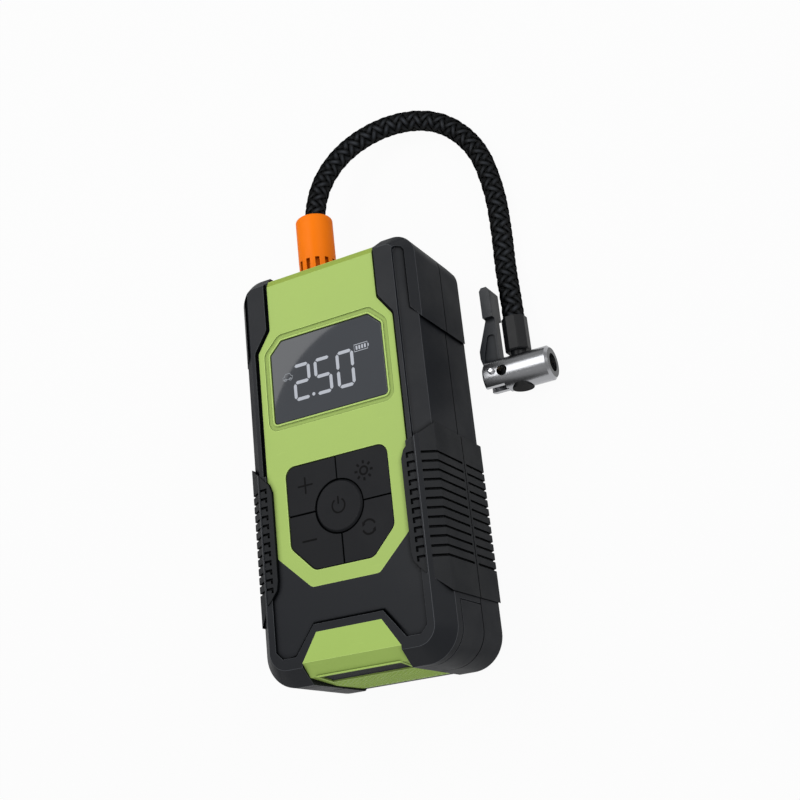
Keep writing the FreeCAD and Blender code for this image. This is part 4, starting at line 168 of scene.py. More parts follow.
# %% [markdown]
# All the finishes share a base colour that drifts by a few percent over the surface, sparse
# scuffs where handling has dulled it, and a fine moulded grain, so that no face is quite
# uniform. Pictures of plastic could be wrapped round each piece, but noise on Object coordinates
# needs no unwrapping and keeps its real size on every piece.

# %% Colour, scuffs and grain
CLOUD_RANGE = (0.3, 0.7)  # where nearly all of the cloudy noise lies
SCUFFED = (1.25, 0.012)  # a scuff multiplies the colour and lifts it a little


def tone(colour, factor, lift=0.0):
    """A linear colour made lighter or darker."""
    return [min(1, c * factor + lift) for c in colour[:3]] + [1]


def drifting_colour(tree, cloud, base, drift):
    """The base colour, a little darker and lighter by turns."""
    shade = add_node(tree, "ShaderNodeValToRGB", {"Fac": cloud})
    for stop, place, factor in zip(shade.color_ramp.elements, CLOUD_RANGE, (1 - drift, 1 + drift)):
        stop.position = place
        stop.color = tone(base, factor)
    return shade


def scuff_mask(tree, place, wear):
    """Short strokes of wear: a noise squeezed along one direction and cut off high."""
    strokes = add_node(tree, "ShaderNodeMapping", {
        "Vector": place, "Rotation": (0.3, 0.2, 0.6), "Scale": (1.0, 9.0, 4.0)})
    scratch = add_node(tree, "ShaderNodeTexNoise", {
        "Vector": strokes, "Scale": 95.0, "Detail": 5.0, "Roughness": 0.62})
    return span(tree, scratch, 0.64, 0.74, 0.0, wear)


def grained_normal(tree, place, strength, size):
    """Bump of a moulded grain, with its size in millimetres."""
    texture = add_node(tree, "ShaderNodeTexNoise", {
        "Vector": place, "Scale": 1.0 / (size * MM), "Detail": 3.0, "Roughness": 0.55})
    return add_node(tree, "ShaderNodeBump", {
        "Height": texture, "Strength": strength, "Distance": 0.05 * MM})


print("a scuff lightens that grey to", round(tone(linear("808080"), *SCUFFED)[0], 3))

# %% [markdown]
# Black mouldings lose their sheen at a grazing angle, as matt sparked plastic does; a plain
# shader would turn their sides grey beside a white floor. Layer Weight does that, because it
# knows the angle of the surface to the eye. Creases get painted shade: little light gets into
# them, so both the colour and the sheen are darkened where Ambient Occlusion finds the surface
# shut in. The roughness drifts with the same cloudy noise as the colour.

# %% The shared finish
CREASE_REACH = 2.4 * MM


def facing_sheen(tree, straight, grazing):
    """Specular level that falls from its value seen straight on to its value at a grazing angle."""
    slant = add_node(tree, "ShaderNodeLayerWeight", {"Blend": 0.5})
    return span(tree, slant.outputs["Facing"], 0.3, 0.6, straight, grazing)


def painted_crease_shade(tree, crease):
    """Painted shade: one on open faces, and less by the depth of the crease where the surface is shut in."""
    shut = add_node(tree, "ShaderNodeAmbientOcclusion", {"Distance": CREASE_REACH}, samples=4)
    return span(tree, shut.outputs["AO"], 0.5, 0.95, 1 - crease, 1.0)


def finish(name, colour, roughness, drift=0.05, grain=0.0, grain_size=0.3, metallic=0.0, coat=0.0,
           specular=0.5, grazing=None, wear=0.25, crease=0.0, roughness_drift=0.06, stretch=(1, 1, 1),
           clear=0.0):
    """Principled finish with drifting colour, scuffs, grained bump, uneven roughness and painted shade in
    creases.
    """
    material = bpy.data.materials.new(name)
    material.use_nodes = True
    tree = material.node_tree
    shader = tree.nodes["Principled BSDF"]
    place = add_node(tree, "ShaderNodeTexCoord").outputs["Object"]
    scaled = add_node(tree, "ShaderNodeMapping", {"Vector": place, "Scale": stretch})
    cloud = add_node(tree, "ShaderNodeTexNoise", {
        "Vector": scaled, "Scale": 60.0, "Detail": 4.0, "Roughness": 0.6})
    scuffs = scuff_mask(tree, place, wear)
    base = linear(colour)
    shade = mixed(tree, scuffs, drifting_colour(tree, cloud, base, drift), tone(base, *SCUFFED))
    sheen = specular if grazing is None else facing_sheen(tree, specular, grazing)
    # Painted shade: colour and sheen darkened in creases, by the crease's depth
    if crease:
        shade_share = painted_crease_shade(tree, crease)
        shade = vector_node(tree, "SCALE", shade, shade_share)
        if grazing is not None:
            sheen = math_node(tree, "MULTIPLY", shade_share, sheen)
    uneven = span(tree, cloud, *CLOUD_RANGE, max(0.02, roughness - roughness_drift),
                  min(1.0, roughness + roughness_drift))
    dulled = math_node(tree, "MULTIPLY_ADD", scuffs, 0.5, uneven, use_clamp=True)
    feed(tree, shader, {
        "Base Color": shade, "Metallic": metallic, "Roughness": dulled, "Specular IOR Level": sheen,
        "Coat Weight": coat, "Coat Roughness": 0.08, "Transmission Weight": clear})
    if grain:
        feed(tree, shader, {"Normal": grained_normal(tree, scaled, grain, grain_size)})
    return material


print("a crease reaches", round(CREASE_REACH * 1000, 1), "mm from its corner")

# %% [markdown]
# The plastics, rubbers and coated parts. The real housing is black glass-filled plastic with a
# satin green face, the keys and the cover are silicone, and the chuck's lever is painted. The
# outer ones are tuned against the photograph; those inside are the usual colours of such parts.

# %% Plastics, rubber and coated parts
SATIN = {"drift": 0.015, "grain": 0.12, "grain_size": 0.4}
# crease sets the depth of the painted shade in creases
LOOKS = {
    "housing_black": dict(colour="1D1F23", roughness=0.44, grain=0.3, grain_size=0.35, specular=0.19,
                          grazing=0.03, crease=0.85),
    "panel_green": dict(colour="A9C469", roughness=0.42, **SATIN, specular=0.16, grazing=0.03, crease=0.6),
    "trim_green": dict(colour="A9C666", roughness=0.42, **SATIN, specular=0.16, grazing=0.02, crease=0.45),
    "window_smoke": dict(colour="3D4045", roughness=0.03, drift=0.02, roughness_drift=0.005, wear=0.02),
    "display_glass": dict(colour="55595C", roughness=0.25, drift=0.02),
    "grip_black": dict(colour="191B1E", roughness=0.5, grain=0.5, specular=0.2, grazing=0.04, crease=0.9),
    "key_black": dict(colour="191A1D", roughness=0.55, grain=0.3, grain_size=0.25, specular=0.16,
                      grazing=0.04, crease=0.6),
    "mat_rubber": dict(colour="8C8C8A", roughness=0.7),
    "cover_rubber": dict(colour="17181B", roughness=0.6, grain=0.4, specular=0.25, grazing=0.05),
    "board_green": dict(colour="1E5C38", roughness=0.35, coat=0.4),
    "component_black": dict(colour="1A1A1C", roughness=0.5),
    "cell_wrap": dict(colour="2A5E98", roughness=0.3, coat=0.3),
    "lamp_clear": dict(colour="F4F6F8", roughness=0.1, drift=0.01, clear=0.85, wear=0.05),
    "led_yellow": dict(colour="F0DC78", roughness=0.3),
    "magnet_dark": dict(colour="3A3A3A", roughness=0.7),
    "valve_rubber": dict(colour="191919", roughness=0.7),
    "collar_orange": dict(colour="FF7E04", roughness=0.42, **SATIN, specular=0.12, grazing=0.03, crease=0.5),
    "hose_braid": dict(colour="060708", roughness=0.38, drift=0.25, specular=0.08, grazing=0.0, crease=0.9),
    "ferrule_black": dict(colour="17181A", roughness=0.36, grain=0.15, specular=0.22, grazing=0.08),
    "plug_black": dict(colour="0E0F10", roughness=0.6, specular=0.25, grazing=0.04),
    "lever_black": dict(colour="2A2D31", roughness=0.34, grain=0.12, specular=0.28, grazing=0.08, crease=0.5),
}
FINISHES = {name: finish(name, **look) for name, look in LOOKS.items()}
print(len(FINISHES), "finishes of plastic, rubber and paint")

# %% [markdown]
# Metals take their colour in the reflection, so the shader's metallic value is one and the base
# colour is that of the metal. Most differ only in tint and polish. The motor's can is drawn, so
# its noise is stretched along the axis; the cylinder is cast, with a coarse grain; and the
# chuck's chrome is even and nearly without scuffs.

# %% Metals
METALS = {
    "switch_steel": ("B4B4B4", 0.35), "socket_steel": ("BFBFC2", 0.3), "screw_steel": ("55565A", 0.4),
    "tab_nickel": ("BDBAB2", 0.35), "frame_steel": ("A0A2A6", 0.4), "core_steel": ("8A5A3C", 0.4),
    "shaft_steel": ("C0C0C3", 0.22), "gear_brass": ("C9A85C", 0.3), "gear_steel": ("8E8F93", 0.4),
    "rod_alloy": ("B0B2B5", 0.4), "plunger_brass": ("C9A660", 0.3),
}
for name, (colour, roughness) in METALS.items():
    FINISHES[name] = finish(name, colour, roughness, metallic=1.0)
FINISHES["motor_steel"] = finish("motor_steel", "AEB0B3", 0.3, metallic=1.0, stretch=(0.2, 1, 1))
FINISHES["cylinder_alloy"] = finish("cylinder_alloy", "B8BABD", 0.45, metallic=1.0, grain=0.3, grain_size=0.8)
FINISHES["chuck_chrome"] = finish("chuck_chrome", "A2A3A6", 0.26, metallic=1.0, drift=0.02,
                                  roughness_drift=0.03, wear=0.15)
print(len(FINISHES), "finishes for", len(slot_of), "nodes")

# %% [markdown]
# A few finishes belong to no node of the model: a painted highlight for edges, painted shade
# for the slope of the panel and for the dark mouth of the chuck, and the prints.

# %% Painted highlights, painted shade and prints
HIGHLIGHTS_SHADES_AND_PRINTS = {
    "green_slope_painted_shade": dict(colour="96AC4D", roughness=0.42, drift=0.02, grain=0.12, grain_size=0.4,
                        specular=0.16, grazing=0.03, crease=0.3),
    "green_edge": dict(colour="CBE887", roughness=0.35, drift=0.02, specular=0.25, grazing=0.05, crease=0.7),
    "black_edge": dict(colour="44474C", roughness=0.4, specular=0.4, grazing=0.05, crease=0.9),
    "mouth_painted_shade": dict(colour="2A2B2E", roughness=0.3, metallic=1.0, wear=0.1),
    "sign_print": dict(colour="060607", roughness=0.5, specular=0.08, grazing=0.02, wear=0.05),
    "digit_light": dict(colour="B6BAC3", roughness=0.4, drift=0.02, specular=0.2, wear=0.0),
    "sign_light": dict(colour="8E9298", roughness=0.4, drift=0.02, specular=0.2, wear=0.0),
}
EXTRAS = {name: finish(name, **look) for name, look in HIGHLIGHTS_SHADES_AND_PRINTS.items()}
print(len(EXTRAS), "finishes for edges and prints")

# %% [markdown]
# The photograph's ground is plain white. An emitting floor alone would swallow the shadow, so
# the floor shows white to the camera and to mirrors, mixed with its real, slightly grey diffuse
# surface, which keeps the object's shadow. The world gives an even fill, and the camera sees
# it as white where the floor ends. Light Path tells the kinds of ray apart.

# %% Floor and world
FLOOR_HALF = 6.0  # metres from the middle of the floor to its edge
FLOOR_WHITE = 0.95  # share of plain white in what the camera sees of the floor
FLOOR_GREY = 0.58
WORLD_FILL = 0.45


def end_in_mix(tree, kind, factor, first, second):
    """Close a shader tree with a mix of two shaders."""
    mix = add_node(tree, "ShaderNodeMixShader", {"Fac": factor, 1: first, 2: second})
    add_node(tree, kind, {"Surface": mix})


def make_floor():
    """White floor that is partly lit by the lamps, for the shadow, and partly white of its own."""
    mesh = bpy.data.meshes.new("studio_floor")
    corners = [(x * FLOOR_HALF, y * FLOOR_HALF, 0) for x, y in ((-1, -1), (1, -1), (1, 1), (-1, 1))]
    mesh.from_pydata(corners, [], [(0, 1, 2, 3)])
    material = bpy.data.materials.new("floor_white")
    material.use_nodes = True
    tree = material.node_tree
    tree.nodes.clear()
    rays = add_node(tree, "ShaderNodeLightPath").outputs
    seen = math_node(tree, "MAXIMUM", rays["Is Camera Ray"], rays["Is Glossy Ray"])
    seen_or_through = math_node(tree, "MAXIMUM", seen, rays["Is Transmission Ray"])
    paint = add_node(tree, "ShaderNodeBsdfDiffuse", {"Color": (FLOOR_GREY, FLOOR_GREY, FLOOR_GREY, 1)})
    white = add_node(tree, "ShaderNodeEmission", {"Color": WHITE, "Strength": 1.0})
    share = math_node(tree, "MULTIPLY", seen_or_through, FLOOR_WHITE)
    end_in_mix(tree, "ShaderNodeOutputMaterial", share, paint, white)
    mesh.materials.append(material)
    floor = add_object("studio_floor", mesh)


def make_world():
    """Even grey fill that the camera sees as white."""
    world = bpy.data.worlds.new("studio_world")
    world.use_nodes = True
    tree = world.node_tree
    tree.nodes.clear()
    seen = add_node(tree, "ShaderNodeLightPath").outputs["Is Camera Ray"]
    fill = add_node(tree, "ShaderNodeBackground", {"Color": WHITE, "Strength": WORLD_FILL})
    white = add_node(tree, "ShaderNodeBackground", {"Color": WHITE, "Strength": 1.0})
    end_in_mix(tree, "ShaderNodeOutputWorld", seen, fill, white)
    bpy.context.scene.world = world


make_floor()
make_world()
bpy.context.scene.view_settings.view_transform = "Standard"
print("floor is", 2 * FLOOR_HALF, "m wide under a fill of", WORLD_FILL)

# %% [markdown]
# Three soft boxes shape the facets: one overhead, one at the right that brightens the right
# bevel, and a long narrow one that draws the white band along the chrome, just out of the
# display window's reflection. A bright ring lamp with a dark centre hangs over the upper left.
# Its inner edge is the curved glare on the window. An area lamp can be a disk but not a ring, so
# the ring is a glowing mesh, of which only the sector that shows in the window is made.

# %% Lamps
LAMPS = {  # place, target and sides in millimetres, power in watts, and shape
    "overhead_lamp": ((170, -420, 760), (0, 0, 40), (420, 420), 0.9, "DISK"),
    "right_lamp": ((700, 250, 560), (0, 0, 30), (480, 480), 1.9, "DISK"),
    "band_lamp": ((-115, 250, 545), (-115, 250, 0), (150, 520), 1.05, "RECTANGLE"),
}


def make_lamp(name, place, target, sides, watts, shape):
    """Area lamp that faces a point."""
    data = bpy.data.lights.new(name, "AREA")
    data.shape = shape
    data.size, data.size_y = (side * MM for side in sides)
    data.energy = watts
    lamp = add_object(name, data)
    lamp.location = Vector(place) * MM
    aim = (Vector(target) - Vector(place)).normalized()
    lamp.rotation_euler = aim.to_track_quat("-Z", "Y").to_euler()


def make_ring_lamp(centre, facing, inner, outer, start, stop, strength, steps=48):
    """Flat glowing sector of a ring, whose inner edge shows as a curve in a flat window."""
    normal = Vector(facing).normalized()
    across = Vector((0, 0, 1)).cross(normal).normalized()
    upward = normal.cross(across)
    rim = []
    for radius in (inner, outer):
        for k in range(steps + 1):
            angle = math.radians(start + (stop - start) * k / steps)
            rim.append((Vector(centre) + radius * (math.cos(angle) * across + math.sin(angle) * upward)) * MM)
    mesh = bpy.data.meshes.new("ring_lamp")
    mesh.from_pydata(rim, [], [(k, k + 1, steps + 2 + k, steps + 1 + k) for k in range(steps)])
    glow = bpy.data.materials.new("ring_glow")
    glow.use_nodes = True
    tree = glow.node_tree
    tree.nodes.clear()
    light = add_node(tree, "ShaderNodeEmission", {"Color": WHITE, "Strength": strength})
    add_node(tree, "ShaderNodeOutputMaterial", {"Surface": light})
    mesh.materials.append(glow)
    ring = add_object("ring_lamp", mesh)
    ring.visible_camera = False


for name, how in LAMPS.items():
    make_lamp(name, *how)
make_ring_lamp(centre=(-224.9, 181.9, 594.7), facing=(-0.43, 0.30, 0.85), inner=128, outer=310,
               start=-127, stop=-58, strength=2.55)

# %% [markdown]
# The hose is a rubber tube under a woven black sleeve. Its centre line is one NURBS spline laid
# through a handful of points: up out of the orange collar, round, down to the floor and back
# into the ferrule. The tube is that curve with a round bevel. The sleeve could be a bump map,
# but the weave is coarse enough to break the outline, so it is made of real strands.

# %% Hose route and tube
HOSE_POINTS = [
    (-16.5, 112.0, 25.5), (-16.7, 131.2, 25.6), (-6.5, 157.0, 17.3), (16.7, 169.0, 10.4),
    (42.4, 164.8, 6.9), (59.8, 145.6, 5.0), (65.7, 120.2, 5.0), (66.3, 98.1, 5.2),
    (65.6, 80.3, 5.2), (67.0, 63.3, 7.5), (67.0, 46.0, 7.5),
]
TUBE_RADIUS = 3.75


def make_route(name, thickness):
    """The hose's line as a NURBS curve object, round if it gets a thickness."""
    curve = bpy.data.curves.new(name, "CURVE")
    curve.dimensions = "3D"
    spline = curve.splines.new("NURBS")
    spline.points.add(len(HOSE_POINTS) - 1)
    for point, place in zip(spline.points, HOSE_POINTS):
        point.co = [c * MM for c in place] + [1]
    spline.order_u = 3
    spline.use_endpoint_u = True
    spline.resolution_u = 12
    curve.bevel_depth = thickness * MM
    curve.bevel_resolution = 6
    curve.use_fill_caps = thickness > 0
    return add_object(name, curve)


hose_core = make_route("hose_core", TUBE_RADIUS)
hose_core.data.materials.append(FINISHES["hose_braid"])
route = make_route("hose_line", 0)
spine = bpy.data.meshes.new_from_object(route)
bpy.data.objects.remove(route)
ends = [[spine.vertices[k].co for k in edge.vertices] for edge in spine.edges]
hose_length = sum((first - last).length for first, last in ends)
print("hose is", round(hose_length * 1000, 1), "mm long through", len(spine.vertices), "points")

# %% [markdown]
# The sleeve is a plait of flat strands: half of them wind one way, half the other, and each
# passes over two and under two, so that left and right stitches alternate along the hose.
# Geometry Nodes suits this, because a strand is a formula along the line. These helpers open a
# tree with named inputs, note values on its points, close it, and bake its result: the export
# drops instances and modifiers, so a tree ends in real geometry and becomes a plain mesh.

# %% Helpers for geometry trees


def new_group(name, inputs):
    """Geometry group with one geometry in and out and named inputs; gives its tree and its input sockets."""
    group = bpy.data.node_groups.new(name, "GeometryNodeTree")
    for label, kind in {"Geometry": "Geometry", **inputs}.items():
        group.interface.new_socket(label, in_out="INPUT", socket_type="NodeSocket" + kind)
    group.interface.new_socket("Geometry", in_out="OUTPUT", socket_type="NodeSocketGeometry")
    return group, add_node(group, "NodeGroupInput").outputs


def captured(tree, geometry, **values):
    """Note values on a geometry's points; gives the geometry and then the noted values."""
    node = add_node(tree, "GeometryNodeCaptureAttribute")
    for label, value in values.items():
        node.capture_items.new("VECTOR" if value.type == "VECTOR" else "FLOAT", label)
    feed(tree, node, {"Geometry": geometry, **dict(enumerate(values.values(), 1))})
    return [node.outputs[k] for k in range(len(values) + 1)]


def close_group(tree, geometry, material):
    """End a tree in real geometry with its material."""
    real = add_node(tree, "GeometryNodeRealizeInstances", {"Geometry": geometry})
    dyed = add_node(tree, "GeometryNodeSetMaterial", {"Geometry": real, "Material": material})
    add_node(tree, "NodeGroupOutput", {"Geometry": dyed})
    print(tree.name, "has", len(tree.nodes), "nodes")


def frozen(host, name):
    """What a host's modifiers make of it, as a plain mesh object at the origin; the host goes."""
    bpy.context.view_layer.update()
    mesh = bpy.data.meshes.new_from_object(host.evaluated_get(bpy.context.evaluated_depsgraph_get()))
    bpy.data.objects.remove(host)
    return add_object(name, mesh)


def baked(name, host_mesh, group, values):
    """Run a group on a mesh, with its inputs set by their identifiers, and keep the result."""
    host = add_object(name + "_host", host_mesh)
    modifier = host.modifiers.new("nodes", "NODES")
    modifier.node_group = group
    for item in group.interface.items_tree:
        if item.in_out == "INPUT" and item.name in values:
            modifier[item.identifier] = values[item.name]
    piece = frozen(host, name)
    print(name, "has", len(piece.data.polygons), "faces")
    return piece


# %% [markdown]
# A strand's course: sample the hose's line, step out along its normal and binormal by a turning
# angle, and let the radius rise and fall with the crossings. A screw modifier could wind a
# strand round a straight axis only. One straight strand of many steps is repeated, and each
# copy starts at its own share of a turn.

# %% Course of the strands
PLAIT_TURN = 0.021  # metres of hose for one turn of a strand


def strand_course(tree, given):
    """Strands wound round the line, flat side inwards; gives them and the wave that they ride."""
    straight = add_node(tree, "GeometryNodeCurvePrimitiveLine")
    stepped = add_node(tree, "GeometryNodeResampleCurve", {"Curve": straight, "Count": given["Steps"]})
    repeated = add_node(tree, "GeometryNodeDuplicateElements", {
        "Geometry": stepped, "Amount": given["Strands"]}, domain="SPLINE").outputs
    along = add_node(tree, "GeometryNodeSplineParameter").outputs["Factor"]
    share = math_node(tree, "DIVIDE", repeated["Duplicate Index"], given["Strands"])
    turn = math_node(tree, "MULTIPLY", along, given["Turns"])
    angle = math_node(tree, "MULTIPLY", math_node(tree, "ADD", share, turn), 2 * math.pi)
    # Over two crossings and under two makes half a wave for each strand on a turn
    beat = math_node(tree, "MULTIPLY", turn, given["Strands"])
    wave_angle = math_node(tree, "MULTIPLY", math_node(tree, "ADD", beat, given["Phase"]), math.pi)
    crest = math_node(tree, "SINE", wave_angle)
    radius = math_node(tree, "ADD", given["Radius"], math_node(tree, "MULTIPLY", crest, given["Wave"]))
    line = add_node(tree, "GeometryNodeMeshToCurve", {"Mesh": given["Geometry"]})
    sample = add_node(tree, "GeometryNodeSampleCurve", {
        "Curves": line, "Factor": along}, mode="FACTOR").outputs
    side = vector_node(tree, "CROSS_PRODUCT", sample["Tangent"], sample["Normal"])
    outward = vector_node(
        tree, "ADD", vector_node(tree, "SCALE", sample["Normal"], math_node(tree, "COSINE", angle)),
        vector_node(tree, "SCALE", side, math_node(tree, "SINE", angle)))
    place = vector_node(tree, "ADD", sample["Position"], vector_node(tree, "SCALE", outward, radius))
    strands, facing = captured(tree, repeated["Geometry"], outward=outward)
    wound = add_node(tree, "GeometryNodeSetPosition", {"Geometry": strands, "Position": place})
    faced = add_node(tree, "GeometryNodeSetCurveNormal", {"Curve": wound, "Normal": facing}, mode="FREE")
    return faced, crest


print("a strand winds", round(hose_length / PLAIT_TURN, 2), "turns along the hose")

# %% [markdown]
# A strand's skin is a flattened circle swept along its course. A flat ribbon would do from
# afar, but its edges would show as paper. Where a point lies across the strand, how far along
# it is and how high the strand rides there are stored with the mesh, for the finish to read.

# %% Skin of the strands
PROFILE_CORNERS = 8


def strand_skin(tree, given, course, crest):
    """Flat tape along every strand, which carries the yarn's own coordinates."""
    circle = add_node(tree, "GeometryNodeCurvePrimitiveCircle", {
        "Resolution": PROFILE_CORNERS, "Radius": 1.0})
    size = add_node(tree, "ShaderNodeCombineXYZ", {
        "X": given["Half Height"], "Y": given["Half Width"], "Z": 1.0})
    flat = add_node(tree, "GeometryNodeTransform", {"Geometry": circle, "Scale": size})
    here = add_node(tree, "GeometryNodeInputPosition").outputs["Position"]
    profile, girth = captured(tree, flat, girth=here)
    length = add_node(tree, "GeometryNodeSplineParameter").outputs["Length"]
    strands, reach, height = captured(tree, course, reach=length, height=crest)
    skin = add_node(tree, "GeometryNodeCurveToMesh", {
        "Curve": strands, "Profile Curve": profile, "Fill Caps": True})
    across = add_node(tree, "ShaderNodeSeparateXYZ", {"Vector": girth}).outputs["Y"]
    yarn = add_node(tree, "ShaderNodeCombineXYZ", {"X": across, "Y": reach, "Z": height})
    noted = add_node(tree, "GeometryNodeStoreNamedAttribute", {
        "Geometry": skin, "Name": "yarn", "Value": yarn}, data_type="FLOAT_VECTOR", domain="POINT")
    return add_node(tree, "GeometryNodeSetShadeSmooth", {"Geometry": noted})


def make_sleeve_group():
    """One set of strands that wind one way round the line."""
    tree, given = new_group("sleeve_strands", {
        "Strands": "Int", "Steps": "Int", "Turns": "Float", "Phase": "Float", "Radius": "Float",
        "Wave": "Float", "Half Width": "Float", "Half Height": "Float", "Material": "Material"})
    course, crest = strand_course(tree, given)
    close_group(tree, strand_skin(tree, given, course, crest), given["Material"])
    return tree


sleeve_group = make_sleeve_group()

# %% [markdown]
# Each strand is a lay of fine black yarns. The ribs along it are bump, because a yarn is far
# thinner than a pixel. The photograph also shows a highlight where a strand rides over the
# others. It could be left to the lamps, but on so dark a cloth a plain sheen spreads evenly, so
# the highlight is painted into the colour, mixed in by the crest, the middle of the strand and the angle to
# the eye.

# %% Finish of the yarn
# Colour of the painted highlight where a strand rides over
PAINTED_HIGHLIGHT = "393C41"


def yarn_finish(base):
    """The braid's finish with ribs along each strand, and a painted highlight in the middle where a strand
    rides over.
    """
    material = base.copy()
    material.name = "hose_yarn"
    tree = material.node_tree
    shader = tree.nodes["Principled BSDF"]
    noted = add_node(tree, "ShaderNodeAttribute", attribute_name="yarn").outputs["Vector"]
    lay = add_node(tree, "ShaderNodeMapping", {"Vector": noted, "Scale": (1600.0, 220.0, 1.0)})
    ribs = add_node(tree, "ShaderNodeTexWave", {
        "Vector": lay, "Scale": 0.32, "Distortion": 1.2, "Detail": 2.0,
        "Detail Scale": 1.5}, wave_type="BANDS", bands_direction="X", wave_profile="SIN")
    bump = add_node(tree, "ShaderNodeBump", {
        "Height": ribs.outputs["Fac"], "Strength": 0.6, "Distance": 0.08 * MM})
    parts = add_node(tree, "ShaderNodeSeparateXYZ", {"Vector": noted}).outputs
    over = span(tree, parts["Z"], 0.0, 1.0, 0.0, 1.0)
    middle = span(tree, math_node(tree, "ABSOLUTE", parts["X"]), 0.1 * MM, 1.1 * MM, 1.0, 0.0)
    slant = add_node(tree, "ShaderNodeLayerWeight", {"Blend": 0.5})
    facing = span(tree, slant.outputs["Facing"], 0.05, 0.4, 1.0, 0.0)
    # Painted highlight: lighter colour on the crest and the middle of a strand, fading at a grazing angle
    highlight_share = math_node(tree, "MULTIPLY", math_node(tree, "MULTIPLY", over, middle), facing)
    plain_colour = shader.inputs["Base Color"].links[0].from_socket
    feed(tree, shader, {
        "Normal": bump, "Base Color": mixed(tree, highlight_share, plain_colour, linear(PAINTED_HIGHLIGHT))})
    return material


hose_yarn = yarn_finish(FINISHES["hose_braid"])
print("the yarn's finish has", len(hose_yarn.node_tree.nodes), "nodes")

# %% [markdown]
# The sleeve is wound twice, six strands to the right and six to the left, by the same tree with
# opposite turns. Their phases are opposite too, so that one set is up where the other is down.
# With the tube they stand for the plain hose of the frame.

# %% Wind the sleeve both ways
SLEEVE = {"Strands": 6, "Steps": 560, "Radius": 4.1 * MM, "Wave": 0.18 * MM, "Half Width": 1.36 * MM,
          "Half Height": 0.5 * MM, "Material": hose_yarn}
sleeve_turns = hose_length / PLAIT_TURN
sleeve_right, sleeve_left = (
    baked("sleeve_" + side, spine.copy(), sleeve_group, {
        **SLEEVE, "Turns": way * sleeve_turns, "Phase": way * 0.25})
    for side, way in (("right", 1), ("left", -1)))
for piece in (hose_core, sleeve_right, sleeve_left):
    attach(piece, "housing")
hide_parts("air_hose")

# %% [markdown]
# Three solids are touched up before their edges are softened, each by a small edit of a copy:
# the photograph shows a dark line round the lower face, along the foot of the guards, a panel
# that falls away towards its upper edge, and a collar that ends a little sooner. A boolean could
# cut along the guards, but an inset follows the outline of the face by itself.

# %% Touch up three solids
FACE_LEVEL = 55.0
GROOVE_WIDTH = 1.4
GROOVE_DEPTH = 1.3
PANEL_BEND = 81.9
PANEL_SLOPE = 0.51
COLLAR_END = 110.0  # from here on the collar is its round end
COLLAR_CUT = 2.8


def groove_lower_face(form):
    """Sink a copy of the strip at the foot of the guards; with the bevel it draws a dark line."""
    level = FACE_LEVEL * MM
    level_faces = [
        f for f in form.faces if f.normal.z > 0.99 and abs(f.calc_center_median().z - level) < 0.01 * MM]
    face = max(level_faces, key=lambda f: f.calc_area())
    foot = [
        e for e in face.edges if any(v.co.z > level + 0.02 * MM for f in e.link_faces for v in f.verts)]
    bmesh.ops.inset_region(form, faces=[face], thickness=GROOVE_WIDTH * MM, use_even_offset=True)
    strip = [f for e in foot for f in e.link_faces if f.normal.z > 0.99 and f is not face]
    sunk = bmesh.ops.extrude_face_region(form, geom=strip)
    bmesh.ops.translate(form, verts=[v for v in sunk["geom"] if isinstance(v, bmesh.types.BMVert)],
                        vec=(0, 0, -GROOVE_DEPTH * MM))
    print("sunk strip follows", len(foot), "edges of the lower face")


def slope_upper_edge(form):
    """Let the green panel fall away a little towards its upper edge, from a soft bend."""
    level, bend = FACE_LEVEL * MM, PANEL_BEND * MM
    for place in (bend - 0.3 * MM, bend):
        everything = [*form.verts, *form.edges, *form.faces]
        bmesh.ops.bisect_plane(form, geom=everything, plane_co=(0, place, 0), plane_no=(0, 1, 0))
    lowered = [v for v in form.verts if v.co.y > bend + 0.1 * MM and v.co.z > level - 0.01 * MM]
    for corner in lowered:
        corner.co.z -= PANEL_SLOPE * (corner.co.y - bend)
    print("panel slopes at", len(lowered), "corners")


def shorten_collar(form):
    """Draw the collar's round end back, to the length that the photograph shows."""
    end = [v for v in form.verts if v.co.y > COLLAR_END * MM]
    for corner in end:
        corner.co.y -= COLLAR_CUT * MM
    print("collar drawn back at", len(end), "corners")


# %% [markdown]
# Moulded plastic has no razor edges. A copy of each visible solid gets its loose triangles
# merged, its flat faces joined, and a small bevel along every real edge, so that edges catch
# the light. On the front shell and the green mouldings that bevel has a lighter finish of its
# own, a painted highlight along the edges. The normals stored with the mesh no longer fit once
# points are merged, so they go; sharp and smooth edges are marked anew before the bevel, which
# then hardens the normals of the flat faces beside it. The copies stand for the solids, which
# stay in the frame for the motion model.

# %% Softened copies of the solids
EDGE_ANGLE = math.radians(28.0)
# The finish of the edges is a painted highlight, a lighter copy of the piece's own colour.
SOFT_EDGES = {  # width of the bevel in millimetres, finish of the edges, and the touch-up before
    "front_shell": (0.35, "black_edge", groove_lower_face), "back_shell": (0.3,),
    "front_panel": (0.4, "green_edge", slope_upper_edge), "bottom_trim": (0.35, "green_edge"),
    "port_cover": (0.25,),
    **dict.fromkeys(("front_grip_right", "front_grip_left", "rear_grip_right", "rear_grip_left"), (0.15,)),
    **dict.fromkeys(("plus_key", "minus_key", "lamp_key", "mode_key"), (0.3,)), "power_key": (0.25,),
    "hose_collar": (0.15, None, shorten_collar), "hose_ferrule": (0.25,), "chuck_barrel": (0.2,),
    "chuck_lever": (0.35,), "lever_pin": (0.2,), "lamp_lens": (0.3,), "display_lens": (0.12,),
}


